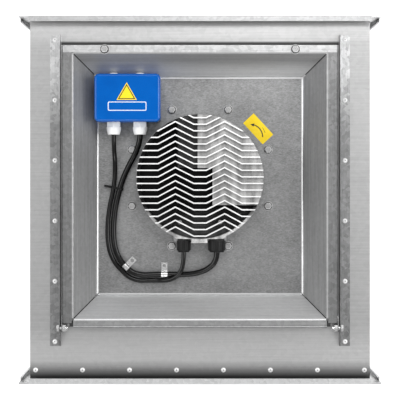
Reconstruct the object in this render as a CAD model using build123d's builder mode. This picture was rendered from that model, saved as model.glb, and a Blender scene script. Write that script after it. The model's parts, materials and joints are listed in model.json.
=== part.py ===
from build123d import *
import os
from math import cos, pi, radians, sin, sqrt, tan

# Rectangular duct fan with a swing-out service panel.
# X is across the duct, Y runs along the airflow (inlet at -Y, outlet at +Y), Z is up.
# The origin is under the middle of the fan, on the plane that its flanges stand on.

os.makedirs("parts", exist_ok=True)

# ---------------------------------------------------------------- casing
casing_width = 700.0
casing_height = 400.0
casing_length = 752.0           # from flange face to flange face
casing_sheet = 1.0
sheet_end_gap = 0.2             # between a sheet's end and the flange rail's face

# ---------------------------------------------------------------- duct flanges
flange_height = 20.0            # how far a flange stands out of the casing
flange_sheet = 1.2
flange_lip = 11.0               # return at the flange's outer edge
flange_hook = 4.0               # end of the return, folded back towards the casing
flange_leg = 30.0               # the rail's leg inside the casing
rail_end_gap = 0.3              # between the legs of two rails at a casing corner
corner_plate = 2.0
corner_arm_length = 42.0        # from the casing's corner along each rail
corner_arm_width = 15.0
corner_hole_r = 4.5             # M8 clearance
flange_rivet_count = 8
flange_rivet_pitch = 96.8
flange_rivet_inset = 25.0       # from the flange face

# ---------------------------------------------------------------- service panel
tray_centre_y = 27.5
tray_base_y = 466.0
tray_mouth_y = 544.0
tray_side_run = 39.5            # how far a side wall leans outwards
tray_depth = 89.5               # from the rim's top to the base plate's top
tray_sheet = 1.5
rim_side = 23.5
rim_near = 18.5                 # on the hinge side
rim_far = 18.5                  # on the bolt side
rim_side_lip = 7.0              # lips folded down
rim_far_lip = 7.0
rim_near_lip = 4.5              # this one is folded up, clear of the hinge
rim_end_gap = 10.0              # the side rims stop this far short of the pivot axis
seam_width = 2.2                # open corner seams of the folded tray
seam_foot = 4.0                 # height of the closed foot of each seam
seam_head = 2.0                 # closed height under the rim
seam_reach = 1.62               # length of each seam's cut, in wall runs
gasket_height = 8.0
gasket_gap = 1.0                # from the opening's edge to the gasket
pivot_notch_x = 13.0            # notches in the gasket at the pivots
pivot_notch_y = 6.5
opening_gap = 6.0               # from the tray's mouth to the casing's opening
opening_gap_far = 3.0
pivot_y = -262.8
pivot_rise = 10.0               # pivot axis above the casing's top
ear_r = 8.0
panel_bolt_x = 195.6
panel_bolt_inset = 9.0          # from the tray's far mouth edge
panel_bolt_length = 25.0
rivnut_r = 5.2
rivnut_hole_gap = 0.1
rivnut_bore_clearance = 0.6
rivnut_length = 14.0
rivnut_flange_r = 7.0
rivnut_flange = 1.0

# ---------------------------------------------------------------- hinge rails
rail_gap = 3.0                  # between the tray's side lip and the rail's upright
rail_sheet = 2.0
rail_height = 18.0
rail_leg = 20.0
rail_near_y = -301.0
rail_far_y = 338.0
rail_taper = 22.0               # sloped end of the upright
rail_rivet_count = 6
rail_rivet_pitch = 124.2
rail_rivet_inset = 10.0         # from the upright's outer face

# ---------------------------------------------------------------- air path
partition_sheet = 1.5
partition_near_y = -188.0
partition_far_y = 216.0
partition_side_gap = 0.8
partition_side_lip = 20.0
baffle_lip = 20.0
first_rivet_x = 100.0           # nearest rivets to the middle, clear of the nozzle
partition_rivet_pitch = 100.0
inlet_baffle_top_y = -318.0
outlet_baffle_foot_y = 330.0
nozzle_flange_r = 168.0
nozzle_bell_r = 150.0
nozzle_throat_r = 112.0
nozzle_height = 29.0
nozzle_sheet = 1.5
nozzle_overlap = 1.0            # of the partition's edge over the nozzle's bell
fold_run = 2.0                  # from the partition's edge to a baffle's fold
nozzle_screw_count = 6
nozzle_screw_pcd = 318.0

# ---------------------------------------------------------------- impeller
motor_y = 45.0                  # the motor's axis
impeller_r = 177.5
eye_r = 116.0
shroud_rise = 50.0              # from the eye up to the shroud's outer edge
impeller_height = 160.0         # from the eye up to the back plate's underside
shroud_sheet = 2.0
shroud_gap = 3.0                # between the nozzle's lip and the shroud's eye
back_plate = 2.5
back_plate_drop = 17.5          # its top, below the panel's base plate
blade_count = 7
blade_sheet = 2.5
blade_root_r = 122.0
blade_sweep = 46.0              # degrees between a blade's root and its tip
blade_bulge = 9.0
weld_gap = 0.1

# ---------------------------------------------------------------- motor
support_r = 170.0
support_plate = 3.0
motor_bolt_count = 8
motor_bolt_pcd = 315.0
motor_bolt_length = 12.8
bell_r = 86.0
bell_wall = 5.9
bell_drop = 100.0               # the bell's bottom, below the panel's base plate
bell_floor = 6.0
bell_flange_r = 104.0
bell_flange = 4.0
bell_hub_r = 18.0
bell_hub_height = 12.0
bell_rivet_count = 8
stator_flange_r = 80.0
stator_flange = 8.5
stator_boss_r = 25.0
stator_boss_length = 68.0
core_length = 46.0
core_r = 72.0
core_yoke = 12.0
slot_count = 12
tooth_width = 12.0
magnet_thickness = 5.5
magnet_count = 14
shaft_r = 7.45
bearing_bore_r = 7.5
bearing_r = 17.5
bearing_width = 11.0
bearing_play = 0.05
circlip_thickness = 1.2

# ---------------------------------------------------------------- electronics housing
housing_r = 134.0
housing_wall = 8.0
housing_roof = 6.0
cavity_height = 29.5
fin_top_rise = 75.0             # above the panel's base plate
fin_pitch = 13.6
fin_thickness = 2.6
fin_side_count = 9              # fins on each side of the middle one
fin_crest_x = 51.0
fin_crest_rise = 19.2
fin_inner_flat = 12.8
fin_outer_flat = 86.7
fin_edge_inset = 2.5
fin_field_shift = 1.9           # of the fins' middle line from the motor's axis
rim_ring_height = 14.0
rim_ring_width = 6.0
rim_ring_inset = 1.0
raised_floors = (               # left, right, near and far edges from the motor's axis, and height
    (-46.6, -5.0, 20.4, 140.0, 21.0),
    (-5.0, 26.0, 20.4, 140.0, 33.0),
    (26.0, 140.0, -56.5, 140.0, 33.0),
)
fin_boss_x = 42.0
fin_boss_y = -92.0              # from the motor's axis
fin_boss_r = 4.5
fin_boss_height = 31.0
gland_block_x = 54.0            # half width of the block that carries the glands
gland_block_face_y = -92.0
gland_block_height = 41.0
gland_block_root = 60.0         # how far in front of the motor's axis the block starts
gland_block_corner_r = 6.0
gland_seat_depth = 9.0          # the glands sit this far behind the block's face
gland_pocket_gap = 1.5          # round the glands
gland_rise = 22.0               # the glands' axes, above the panel's base plate
gland_left_x = -34.5
gland_right_x = 35.5
housing_hole_gap = 3.0
board_r = 115.0
board_thickness = 1.6
board_rise = 8.0                # above the panel's base plate
board_notch_x = 110.0           # notch behind the glands
board_notch_y = 40.0
board_post_r = 4.0
board_post_inset = 24.0
board_hole_inset = 8.0
capacitor_pitch = 20.0
capacitor_y = 40.0              # from the motor's axis
filter_x = 60.0
filter_length = 26.0
filter_width = 30.0
capacitor_r = 8.0
capacitor_height = 15.0

# ---------------------------------------------------------------- cables
control_cable_r = 4.75
power_cable_r = 6.0
cable_play = 0.3                # radial, in the glands
motor_gland_left_r = 15.0
motor_gland_right_r = 18.6
motor_gland_collar = 5.0
motor_gland_nut = 24.0
motor_gland_mouth = 4.0         # tapered end of the nut
motor_gland_thread = 12.0
motor_gland_flutes = 14
motor_gland_flute_r = 1.5
thread_wall = 2.6               # gland wall between the cable and the thread
thread_play = 0.2

# ---------------------------------------------------------------- terminal box
box_side_x = -82.2              # the lid's side that faces the motor
box_wall_gap = 1.3              # from the lid's other side to the tray's base corner
box_y = 211.2
box_length = 137.0              # lid, along X
box_width = 100.0               # lid, along Y
box_lid_overhang = 1.0
box_base_height = 53.0
box_lid_height = 19.0
box_wall = 3.0
box_corner_r = 9.0
lid_edge_r = 6.0
lid_lip = 3.0
seal_gap = 0.3
box_screw_x = 48.0              # from the box's middle
box_screw_y = 26.0
box_gland_r = 15.5
box_gland_tip_r = 12.5
box_gland_shoulder_r = 14.6
box_gland_collar = 10.5
box_gland_cap = 15.5
box_gland_thread = 10.0
box_gland_rise = 28.0           # above the panel's base plate
box_gland_left_x = -182.0
box_gland_right_x = -126.6
plug_r = 9.0
plug_head = 6.0
plug_thread_r = 7.5
plug_thread = 8.0
terminal_pitch = 9.0
terminal_poles = 9
terminal_depth = 22.0
terminal_height = 18.0
terminal_shift = 14.0           # of the strip, behind the box's middle

# ---------------------------------------------------------------- small hardware
m8_r = 4.0
m8_hex_r = 7.5                  # corner radius of a 13 mm hexagon
m8_head = 5.3
m8_nut = 6.5
m8_hole_r = 4.5
m8_crown_chamfer = 1.1
washer_r = 10.0
washer_thickness = 1.6
washer_chamfer = 0.7
pivot_play = 0.05
m5_r = 2.5
m5_hole_r = 2.7
m5_head_r = 4.6
m5_head = 2.8
rivet_r = 2.4
rivet_hole_r = 2.5
rivet_head_r = 5.0
rivet_head = 1.6
rivet_tail_r = 3.4
rivet_tail = 2.0

# ---------------------------------------------------------------- small allowances
thread_gap = 0.05               # between a bolt and its own nut
join_depth = 0.5                # how far joined forms of one piece sink into each other
through = 200.0                 # longer than any cut is deep

# ---------------------------------------------------------------- levels and places worked out from these
casing_bottom_z = flange_height
casing_top_z = flange_height + casing_height
half_width = casing_width / 2
half_length = casing_length / 2
casing_mid_z = casing_bottom_z + casing_height / 2
rim_z = casing_top_z + gasket_height + tray_sheet
base_z = rim_z - tray_depth
back_plate_top = base_z - back_plate_drop
back_plate_z = back_plate_top - back_plate
eye_z = back_plate_z - impeller_height
partition_top = eye_z - shroud_gap - nozzle_height
bell_bottom_z = base_z - bell_drop
fin_top_z = base_z + fin_top_rise
gland_z = base_z + gland_rise
gland_seat_y = gland_block_face_y + gland_seat_depth
board_z = base_z + board_rise
box_gland_z = base_z + box_gland_rise
box_x = box_side_x - box_length / 2
tray_base_x = 2 * (box_length - box_side_x + box_wall_gap)
tray_mouth_x = tray_base_x + 2 * tray_side_run
tray_near_y = tray_centre_y - tray_mouth_y / 2
tray_far_y = tray_centre_y + tray_mouth_y / 2
rim_x = tray_mouth_x / 2 + rim_side
pivot_z = casing_top_z + pivot_rise
opening_x = tray_mouth_x / 2 + opening_gap
opening_near_y = tray_near_y - opening_gap
opening_far_y = tray_far_y + opening_gap_far
panel_bolt_y = tray_far_y + panel_bolt_inset
rail_x = rim_x + rail_gap
support_z = base_z - tray_sheet
roof_z = support_z + cavity_height
sheet_half_length = half_length - flange_sheet - sheet_end_gap
box_seam_z = base_z + box_base_height


def row_of(count, pitch):
    """Evenly spaced places along a row, centred on zero."""
    return [(i - (count - 1) / 2) * pitch for i in range(count)]


flange_rivet_xs = row_of(flange_rivet_count, flange_rivet_pitch)
flange_rivet_y = -half_length + flange_rivet_inset
rail_mid_y = (rail_near_y + rail_far_y) / 2
rail_rivet_ys = [rail_mid_y + y for y in row_of(rail_rivet_count, rail_rivet_pitch)]
rail_rivet_x = rail_x + rail_sheet + rail_rivet_inset


def finish(builder, label):
    """Label a finished piece and write it."""
    builder.part.label = label
    export_step(builder.part, "parts/" + label + ".step")


def level(z):
    """The horizontal plane at height z, with its origin on the motor's axis."""
    return Plane(origin=(0, motor_y, z))


# ================================================================ casing sheets
with BuildPart() as casing_top:
    with BuildSketch(Plane.XY.offset(casing_top_z - casing_sheet)):
        Rectangle(casing_width, 2 * sheet_half_length)
        with Locations((0, (opening_near_y + opening_far_y) / 2)):
            Rectangle(2 * opening_x, opening_far_y - opening_near_y, mode=Mode.SUBTRACT)
        with Locations(*[(x, panel_bolt_y) for x in (-panel_bolt_x, panel_bolt_x)]):
            Circle(rivnut_r + rivnut_hole_gap, mode=Mode.SUBTRACT)
        with Locations(*[(x, flange_rivet_y) for x in flange_rivet_xs]):
            Circle(rivet_hole_r, mode=Mode.SUBTRACT)
        with Locations(*[(s * rail_rivet_x, y) for s in (-1, 1) for y in rail_rivet_ys]):
            Circle(rivet_hole_r, mode=Mode.SUBTRACT)
    extrude(amount=casing_sheet)
finish(casing_top, "casing_top")

with BuildPart() as casing_bottom:
    with BuildSketch(Plane.XY.offset(casing_bottom_z)):
        Rectangle(casing_width, 2 * sheet_half_length)
        with Locations(*[(x, flange_rivet_y) for x in flange_rivet_xs]):
            Circle(rivet_hole_r, mode=Mode.SUBTRACT)
    extrude(amount=casing_sheet)
finish(casing_bottom, "casing_bottom")

for side, label in ((-1, "casing_side_left"), (1, "casing_side_right")):
    with BuildPart() as casing_side:
        with BuildSketch(Plane.YZ.offset(side * (half_width - casing_sheet / 2))):
            with Locations((0, casing_mid_z)):
                Rectangle(2 * sheet_half_length, casing_height - 2 * casing_sheet)
        extrude(amount=casing_sheet / 2, both=True)
    finish(casing_side, label)

# ================================================================ duct flanges
rail_sides = (
    (Vector(0, 0, 1), casing_height / 2, half_width),
    (Vector(1, 0, 0), half_width, casing_height / 2),
    (Vector(0, 0, -1), casing_height / 2, half_width),
    (Vector(-1, 0, 0), half_width, casing_height / 2),
)
leg_v = -casing_sheet - flange_sheet
# The rail's section: u runs inwards from the flange face, v outwards from the casing's surface.
outer_strips = (
    (0, flange_sheet, 0, flange_height),
    (0, flange_lip, flange_height - flange_sheet, flange_height),
    (flange_lip - flange_sheet, flange_lip, flange_height - flange_hook, flange_height),
)
inner_strips = (
    (0, flange_sheet, leg_v, 0),
    (0, flange_leg, leg_v, -casing_sheet),
)


def strip_sketch(strips):
    """Draw the strips of a rail's section in the current sketch."""
    for u0, u1, v0, v1 in strips:
        with Locations(((u0 + u1) / 2, (v0 + v1) / 2)):
            Rectangle(u1 - u0, v1 - v0)


for end, label in ((-1, "inlet_flange_rails"), (1, "outlet_flange_rails")):
    with BuildPart() as flange_rails:
        for outward, reach, half_run in rail_sides:
            inward = Vector(0, -end, 0)
            start = Vector(0, end * half_length, casing_mid_z) + outward * reach
            section = Plane(origin=start, x_dir=inward, z_dir=inward.cross(outward))
            with BuildSketch(section):
                strip_sketch(outer_strips)
            extrude(amount=half_run, both=True)
            with BuildSketch(section):
                strip_sketch(inner_strips)
            extrude(amount=half_run - casing_sheet - flange_sheet - rail_end_gap, both=True)
        if end < 0:
            with Locations(*[(x, flange_rivet_y, casing_mid_z) for x in flange_rivet_xs]):
                Cylinder(rivet_hole_r, casing_height, mode=Mode.SUBTRACT)
    finish(flange_rails, label)

corner_arm_v = (flange_height - corner_arm_width) / 2 - flange_sheet / 2
for end, label in ((-1, "inlet_flange_corners"), (1, "outlet_flange_corners")):
    with BuildPart() as flange_corners:
        for sx in (-1, 1):
            for sz in (-1, 1):
                corner_z = casing_mid_z + sz * casing_height / 2
                corner = Vector(sx * half_width, end * half_length, corner_z)
                frame = Plane(origin=corner, x_dir=(sx, 0, 0), z_dir=(0, -end, 0))
                up = 1 if frame.y_dir.Z * sz > 0 else -1
                with BuildSketch(frame):
                    with Locations((flange_height / 2, up * flange_height / 2)):
                        Rectangle(flange_height, flange_height)
                        Circle(corner_hole_r, mode=Mode.SUBTRACT)
                extrude(amount=flange_sheet + sheet_end_gap + corner_plate)
                with BuildSketch(frame.offset(flange_sheet + sheet_end_gap)):
                    with Locations((-corner_arm_length / 2 + 1, up * (corner_arm_v + corner_arm_width / 2))):
                        Rectangle(corner_arm_length + 2, corner_arm_width)
                    with Locations((corner_arm_v + corner_arm_width / 2, up * (1 - corner_arm_length / 2))):
                        Rectangle(corner_arm_width, corner_arm_length + 2)
                extrude(amount=corner_plate)
    finish(flange_corners, label)

# ================================================================ rivets, bolts and nuts to be copied


def rivet_form(stack):
    """A blind rivet through a stack of sheets, with its head's seat at the origin and its tail below."""
    with BuildPart() as form:
        with BuildSketch(Plane.XZ):
            with BuildLine():
                Polyline((0, 0.6), (1.1, 0.6), (1.1, rivet_head), (2.6, rivet_head))
                RadiusArc((2.6, rivet_head), (rivet_head_r, 0), rivet_head_r)
                Polyline(
                    (rivet_head_r, 0), (rivet_r, 0), (rivet_r, -stack), (rivet_tail_r, -stack),
                    (rivet_tail_r, -stack - rivet_tail), (0, -stack - rivet_tail), (0, 0.6),
                )
            make_face()
        revolve(axis=Axis.Z)
    return form.part


def hex_bolt_form(shank_r, length, hex_r, head):
    """A hexagon bolt, seated at the origin, shank downwards."""
    with BuildPart() as form:
        with BuildSketch():
            RegularPolygon(hex_r, 6)
        extrude(amount=head)
        crown = form.faces().sort_by(Axis.Z)[-1]
        chamfer(crown.edges(), m8_crown_chamfer)
        with Locations((0, 0, -length / 2)):
            Cylinder(shank_r, length)
        tip = form.faces().sort_by(Axis.Z)[0]
        chamfer(tip.edges(), 0.6)
    return form.part


def nut_form(bore_r, hex_r, height):
    """A hexagon nut standing on the origin."""
    with BuildPart() as form:
        with BuildSketch():
            RegularPolygon(hex_r, 6)
            Circle(bore_r, mode=Mode.SUBTRACT)
        extrude(amount=height)
    return form.part


def washer_form(bore_r):
    """A flat washer standing on the origin."""
    with BuildPart() as form:
        with BuildSketch():
            Circle(washer_r)
        extrude(amount=washer_thickness)
        chamfer(form.edges().group_by(Axis.Z)[-1], washer_chamfer)
        Cylinder(bore_r, 3 * washer_thickness, mode=Mode.SUBTRACT)
    return form.part


def pan_screw_form(shank_r, length, head_r, head):
    """A pan-head screw with a cross recess, seated at the origin, shank downwards."""
    with BuildPart() as form:
        Cylinder(head_r, head, align=(Align.CENTER, Align.CENTER, Align.MIN))
        rim = form.edges().group_by(Axis.Z)[-1]
        fillet(rim, head * 0.35)
        Cylinder(shank_r, length, align=(Align.CENTER, Align.CENTER, Align.MAX))
        with BuildSketch(Plane.XY.offset(head)):
            Rectangle(head_r * 1.1, head_r * 0.2)
            Rectangle(head_r * 0.2, head_r * 1.1)
        extrude(amount=-head * 0.5, mode=Mode.SUBTRACT)
    return form.part


top_rivet = rivet_form(casing_sheet + flange_sheet)
with BuildPart() as flange_rivets:
    with Locations(*[(x, flange_rivet_y, casing_top_z) for x in flange_rivet_xs]):
        add(top_rivet)
    with Locations(*[Location((x, flange_rivet_y, casing_bottom_z), (180, 0, 0)) for x in flange_rivet_xs]):
        add(top_rivet)
finish(flange_rivets, "flange_rivets")

# ================================================================ hinge rails
for side, label in ((-1, "hinge_rail_left"), (1, "hinge_rail_right")):
    with BuildPart() as hinge_rail:
        with BuildSketch(Plane.YZ.offset(side * (rail_x + rail_sheet / 2))):
            with BuildLine():
                Polyline(
                    (rail_near_y, casing_top_z),
                    (rail_near_y, casing_top_z + rail_sheet),
                    (rail_near_y + rail_taper, casing_top_z + rail_height),
                    (rail_far_y, casing_top_z + rail_height),
                    (rail_far_y, casing_top_z),
                    close=True,
                )
            make_face()
            with Locations((pivot_y, pivot_z)):
                Circle(m8_r + pivot_play, mode=Mode.SUBTRACT)
        extrude(amount=rail_sheet / 2, both=True)
        with BuildSketch(Plane.XY.offset(casing_top_z)):
            with Locations((side * (rail_x + (rail_sheet + rail_leg) / 2), rail_mid_y)):
                Rectangle(rail_leg + rail_sheet, rail_far_y - rail_near_y)
            with Locations(*[(side * rail_rivet_x, y) for y in rail_rivet_ys]):
                Circle(rivet_hole_r, mode=Mode.SUBTRACT)
        extrude(amount=rail_sheet)
    finish(hinge_rail, label)

rail_rivet = rivet_form(casing_sheet + rail_sheet)
rail_rivet_seat = casing_top_z + rail_sheet
with BuildPart() as hinge_rail_rivets:
    with Locations(*[(s * rail_rivet_x, y, rail_rivet_seat) for s in (-1, 1) for y in rail_rivet_ys]):
        add(rail_rivet)
finish(hinge_rail_rivets, "hinge_rail_rivets")

pivot_reach = rail_sheet + rail_gap + tray_sheet + 12.0
pivot_nut_gap = 0.4             # between the tray's ear and the nut's washer
pivot_bolt = hex_bolt_form(m8_r, pivot_reach, m8_hex_r, m8_head)
with BuildPart() as hinge_pivot_screws:
    for side in (-1, 1):
        seat = Plane(origin=(side * (rail_x + rail_sheet), pivot_y, pivot_z), z_dir=(side, 0, 0))
        with Locations(seat.location):
            add(pivot_bolt)
finish(hinge_pivot_screws, "hinge_pivot_screws")

pivot_nut = nut_form(m8_r + thread_gap, m8_hex_r, m8_nut)
with BuildPart() as hinge_pivot_nuts:
    for side in (-1, 1):
        nut_x = side * (rim_x - tray_sheet - pivot_nut_gap)
        with Locations(Plane(origin=(nut_x, pivot_y, pivot_z), z_dir=(-side, 0, 0)).location):
            add(pivot_nut)
finish(hinge_pivot_nuts, "hinge_pivot_nuts")

# ================================================================ opening gasket and rivet nuts
gasket_x = opening_x + gasket_gap
gasket_outer_x = rim_x - tray_sheet - gasket_gap
gasket_near_y = opening_near_y - gasket_gap
gasket_outer_near_y = pivot_y + gasket_gap + tray_sheet
gasket_far_y = opening_far_y + gasket_gap
gasket_outer_far_y = tray_far_y + rim_far - tray_sheet - gasket_gap
with BuildPart() as panel_gasket:
    with BuildSketch(Plane.XY.offset(casing_top_z)):
        with Locations((0, (gasket_outer_near_y + gasket_outer_far_y) / 2)):
            Rectangle(2 * gasket_outer_x, gasket_outer_far_y - gasket_outer_near_y)
        with Locations((0, (gasket_near_y + gasket_far_y) / 2)):
            Rectangle(2 * gasket_x, gasket_far_y - gasket_near_y, mode=Mode.SUBTRACT)
        with Locations(*[(x, panel_bolt_y) for x in (-panel_bolt_x, panel_bolt_x)]):
            Rectangle(3 * rivnut_flange_r, 4 * rivnut_flange_r, mode=Mode.SUBTRACT)
        # Notches that leave room for the pivots' nuts.
        with Locations(*[(side * gasket_outer_x, gasket_outer_near_y) for side in (-1, 1)]):
            Rectangle(2 * pivot_notch_x, 2 * pivot_notch_y, mode=Mode.SUBTRACT)
    extrude(amount=gasket_height)
finish(panel_gasket, "panel_gasket")

with BuildPart() as panel_rivnuts:
    with BuildSketch(Plane.XY.offset(casing_top_z)):
        with Locations(*[(x, panel_bolt_y) for x in (-panel_bolt_x, panel_bolt_x)]):
            Circle(rivnut_flange_r)
    extrude(amount=rivnut_flange)
    with BuildSketch(Plane.XY.offset(casing_top_z)):
        with Locations(*[(x, panel_bolt_y) for x in (-panel_bolt_x, panel_bolt_x)]):
            Circle(rivnut_r)
    extrude(amount=-rivnut_length)
    with Locations(*[(x, panel_bolt_y, casing_top_z) for x in (-panel_bolt_x, panel_bolt_x)]):
        Cylinder(m8_r + rivnut_bore_clearance, 3 * rivnut_length, mode=Mode.SUBTRACT)
finish(panel_rivnuts, "panel_rivnuts")

# ================================================================ partition between inlet and outlet
partition_half_x = half_width - casing_sheet - partition_side_gap
partition_z = partition_top - partition_sheet
partition_rivet_xs = [
    side * (first_rivet_x + i * partition_rivet_pitch) for side in (-1, 1) for i in range(3)
]
near_rivet_y = partition_near_y + baffle_lip / 2
far_rivet_y = partition_far_y - baffle_lip / 2
nozzle_screw_r = nozzle_screw_pcd / 2
with BuildPart() as partition_plate:
    with BuildSketch(Plane.XY.offset(partition_z)):
        with Locations((0, (partition_near_y + partition_far_y) / 2)):
            Rectangle(2 * partition_half_x, partition_far_y - partition_near_y)
        with Locations((0, motor_y)):
            Circle(nozzle_bell_r - nozzle_overlap, mode=Mode.SUBTRACT)
            with PolarLocations(nozzle_screw_r, nozzle_screw_count):
                Circle(m5_hole_r, mode=Mode.SUBTRACT)
        with Locations(*[(x, y) for x in partition_rivet_xs for y in (near_rivet_y, far_rivet_y)]):
            Circle(rivet_hole_r, mode=Mode.SUBTRACT)
    extrude(amount=partition_sheet)
    with BuildSketch(Plane.XY.offset(partition_z)):
        for side in (-1, 1):
            lip_x = side * (partition_half_x - partition_sheet / 2)
            with Locations((lip_x, (near_rivet_y + far_rivet_y) / 2)):
                Rectangle(partition_sheet, far_rivet_y - near_rivet_y - 2 * baffle_lip)
    extrude(amount=-partition_side_lip)
finish(partition_plate, "partition_plate")


def baffle(points, rivet_y):
    """A sheet folded along the points, which are its middle line in the YZ plane."""
    with BuildPart() as folded:
        with BuildSketch(Plane.YZ):
            with BuildLine():
                Polyline(*points)
            trace(line_width=partition_sheet)
        extrude(amount=partition_half_x, both=True)
        with Locations(*[(x, rivet_y, partition_top) for x in partition_rivet_xs]):
            Cylinder(rivet_hole_r, 20.0, mode=Mode.SUBTRACT)
    return folded


half_sheet = partition_sheet / 2
inlet_baffle = baffle(
    (
        (inlet_baffle_top_y + baffle_lip, casing_top_z - casing_sheet - half_sheet),
        (inlet_baffle_top_y, casing_top_z - casing_sheet - half_sheet),
        (partition_near_y - fold_run, partition_top + half_sheet),
        (partition_near_y + baffle_lip, partition_top + half_sheet),
    ),
    near_rivet_y,
)
finish(inlet_baffle, "inlet_baffle")

outlet_baffle = baffle(
    (
        (outlet_baffle_foot_y - baffle_lip, casing_bottom_z + casing_sheet + half_sheet),
        (outlet_baffle_foot_y, casing_bottom_z + casing_sheet + half_sheet),
        (partition_far_y + fold_run, partition_z - half_sheet),
        (partition_far_y - baffle_lip, partition_z - half_sheet),
    ),
    far_rivet_y,
)
finish(outlet_baffle, "outlet_baffle")

sheet_pair_rivet = rivet_form(2 * partition_sheet)
with BuildPart() as partition_rivets:
    with Locations(*[(x, near_rivet_y, partition_top + partition_sheet) for x in partition_rivet_xs]):
        add(sheet_pair_rivet)
    with Locations(*[(x, far_rivet_y, partition_top) for x in partition_rivet_xs]):
        add(sheet_pair_rivet)
finish(partition_rivets, "partition_rivets")

with BuildPart() as inlet_nozzle:
    with BuildSketch(Plane(origin=(0, motor_y, partition_top), x_dir=(1, 0, 0), z_dir=(0, -1, 0))):
        bell_x = nozzle_bell_r - nozzle_throat_r
        inner_x = bell_x - nozzle_sheet
        inner_height = nozzle_height - nozzle_sheet
        with BuildLine():
            Line((nozzle_flange_r, 0), (nozzle_bell_r, 0))
            EllipticalCenterArc((nozzle_bell_r, nozzle_height), bell_x, nozzle_height, 180, arc_size=90)
            Line((nozzle_throat_r, nozzle_height), (nozzle_throat_r + nozzle_sheet, nozzle_height))
            EllipticalCenterArc((nozzle_bell_r, nozzle_height), inner_x, inner_height, 180, arc_size=90)
            Line((nozzle_bell_r, nozzle_sheet), (nozzle_flange_r, nozzle_sheet))
            Line((nozzle_flange_r, nozzle_sheet), (nozzle_flange_r, 0))
        make_face()
    revolve(axis=Axis((0, motor_y, 0), (0, 0, 1)))
    with Locations((0, motor_y, partition_top)):
        with PolarLocations(nozzle_screw_r, nozzle_screw_count):
            Cylinder(m5_hole_r, 10.0, mode=Mode.SUBTRACT)
finish(inlet_nozzle, "inlet_nozzle")

nozzle_screw = pan_screw_form(m5_r, 10.0, m5_head_r, m5_head)
with BuildPart() as nozzle_screws:
    with Locations((0, motor_y, partition_top + nozzle_sheet)):
        with PolarLocations(nozzle_screw_r, nozzle_screw_count):
            add(nozzle_screw)
finish(nozzle_screws, "nozzle_screws")

# ================================================================ service panel


def frustum(bottom_z, bottom_x, bottom_y, top_z, top_x, top_y):
    """A four-sided tapered block centred on the tray."""
    with BuildPart() as block:
        with BuildSketch(Plane(origin=(0, tray_centre_y, bottom_z))):
            Rectangle(bottom_x, bottom_y)
        with BuildSketch(Plane(origin=(0, tray_centre_y, top_z))):
            Rectangle(top_x, top_y)
        loft()
    return block.part


wall_slope = sqrt(tray_side_run**2 + tray_depth**2)
wall_side = tray_sheet * wall_slope / tray_depth        # the wall's thickness measured level
motor_bolt_points = [
    (motor_bolt_pcd / 2 * cos(radians(22.5 + 360 / motor_bolt_count * i)),
     motor_y + motor_bolt_pcd / 2 * sin(radians(22.5 + 360 / motor_bolt_count * i)))
    for i in range(motor_bolt_count)
]
box_screw_points = [
    (box_x + sx * box_screw_x, box_y + sy * box_screw_y) for sx in (-1, 1) for sy in (-1, 1)
]
outer_body = frustum(
    base_z - tray_sheet, tray_base_x + 2 * wall_side, tray_base_y + 2 * wall_side,
    rim_z, tray_mouth_x + 2 * wall_side, tray_mouth_y + 2 * wall_side,
)
inner_space = frustum(base_z, tray_base_x, tray_base_y, rim_z, tray_mouth_x, tray_mouth_y)
rim_near_y = tray_near_y - rim_near
rim_far_y = tray_far_y + rim_far
side_rim_near_y = pivot_y + rim_end_gap
ear_foot_y = side_rim_near_y + 14.0

# Loops of the two cables' clips and ties are placed from these too.
clip_band = 1.0
clip_width = 13.0
clip_play = 0.4
clip_reach = 18.2               # from the cable's middle to the clip's screw
clip_loop_r = power_cable_r + clip_play + clip_band
clip_cable_z = base_z + clip_loop_r + 0.1
# X and Y of the cable in each clip, its heading in degrees, X and Y of the screw.
clips = []
for clip_x, clip_y, heading in ((-76.0, -161.0, 180.0), (-157.5, -144.5, 135.0)):
    screw_x = clip_x + clip_reach * cos(radians(heading - 90))
    screw_y = clip_y + clip_reach * sin(radians(heading - 90))
    clips.append((clip_x, clip_y, heading, screw_x, screw_y))

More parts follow.
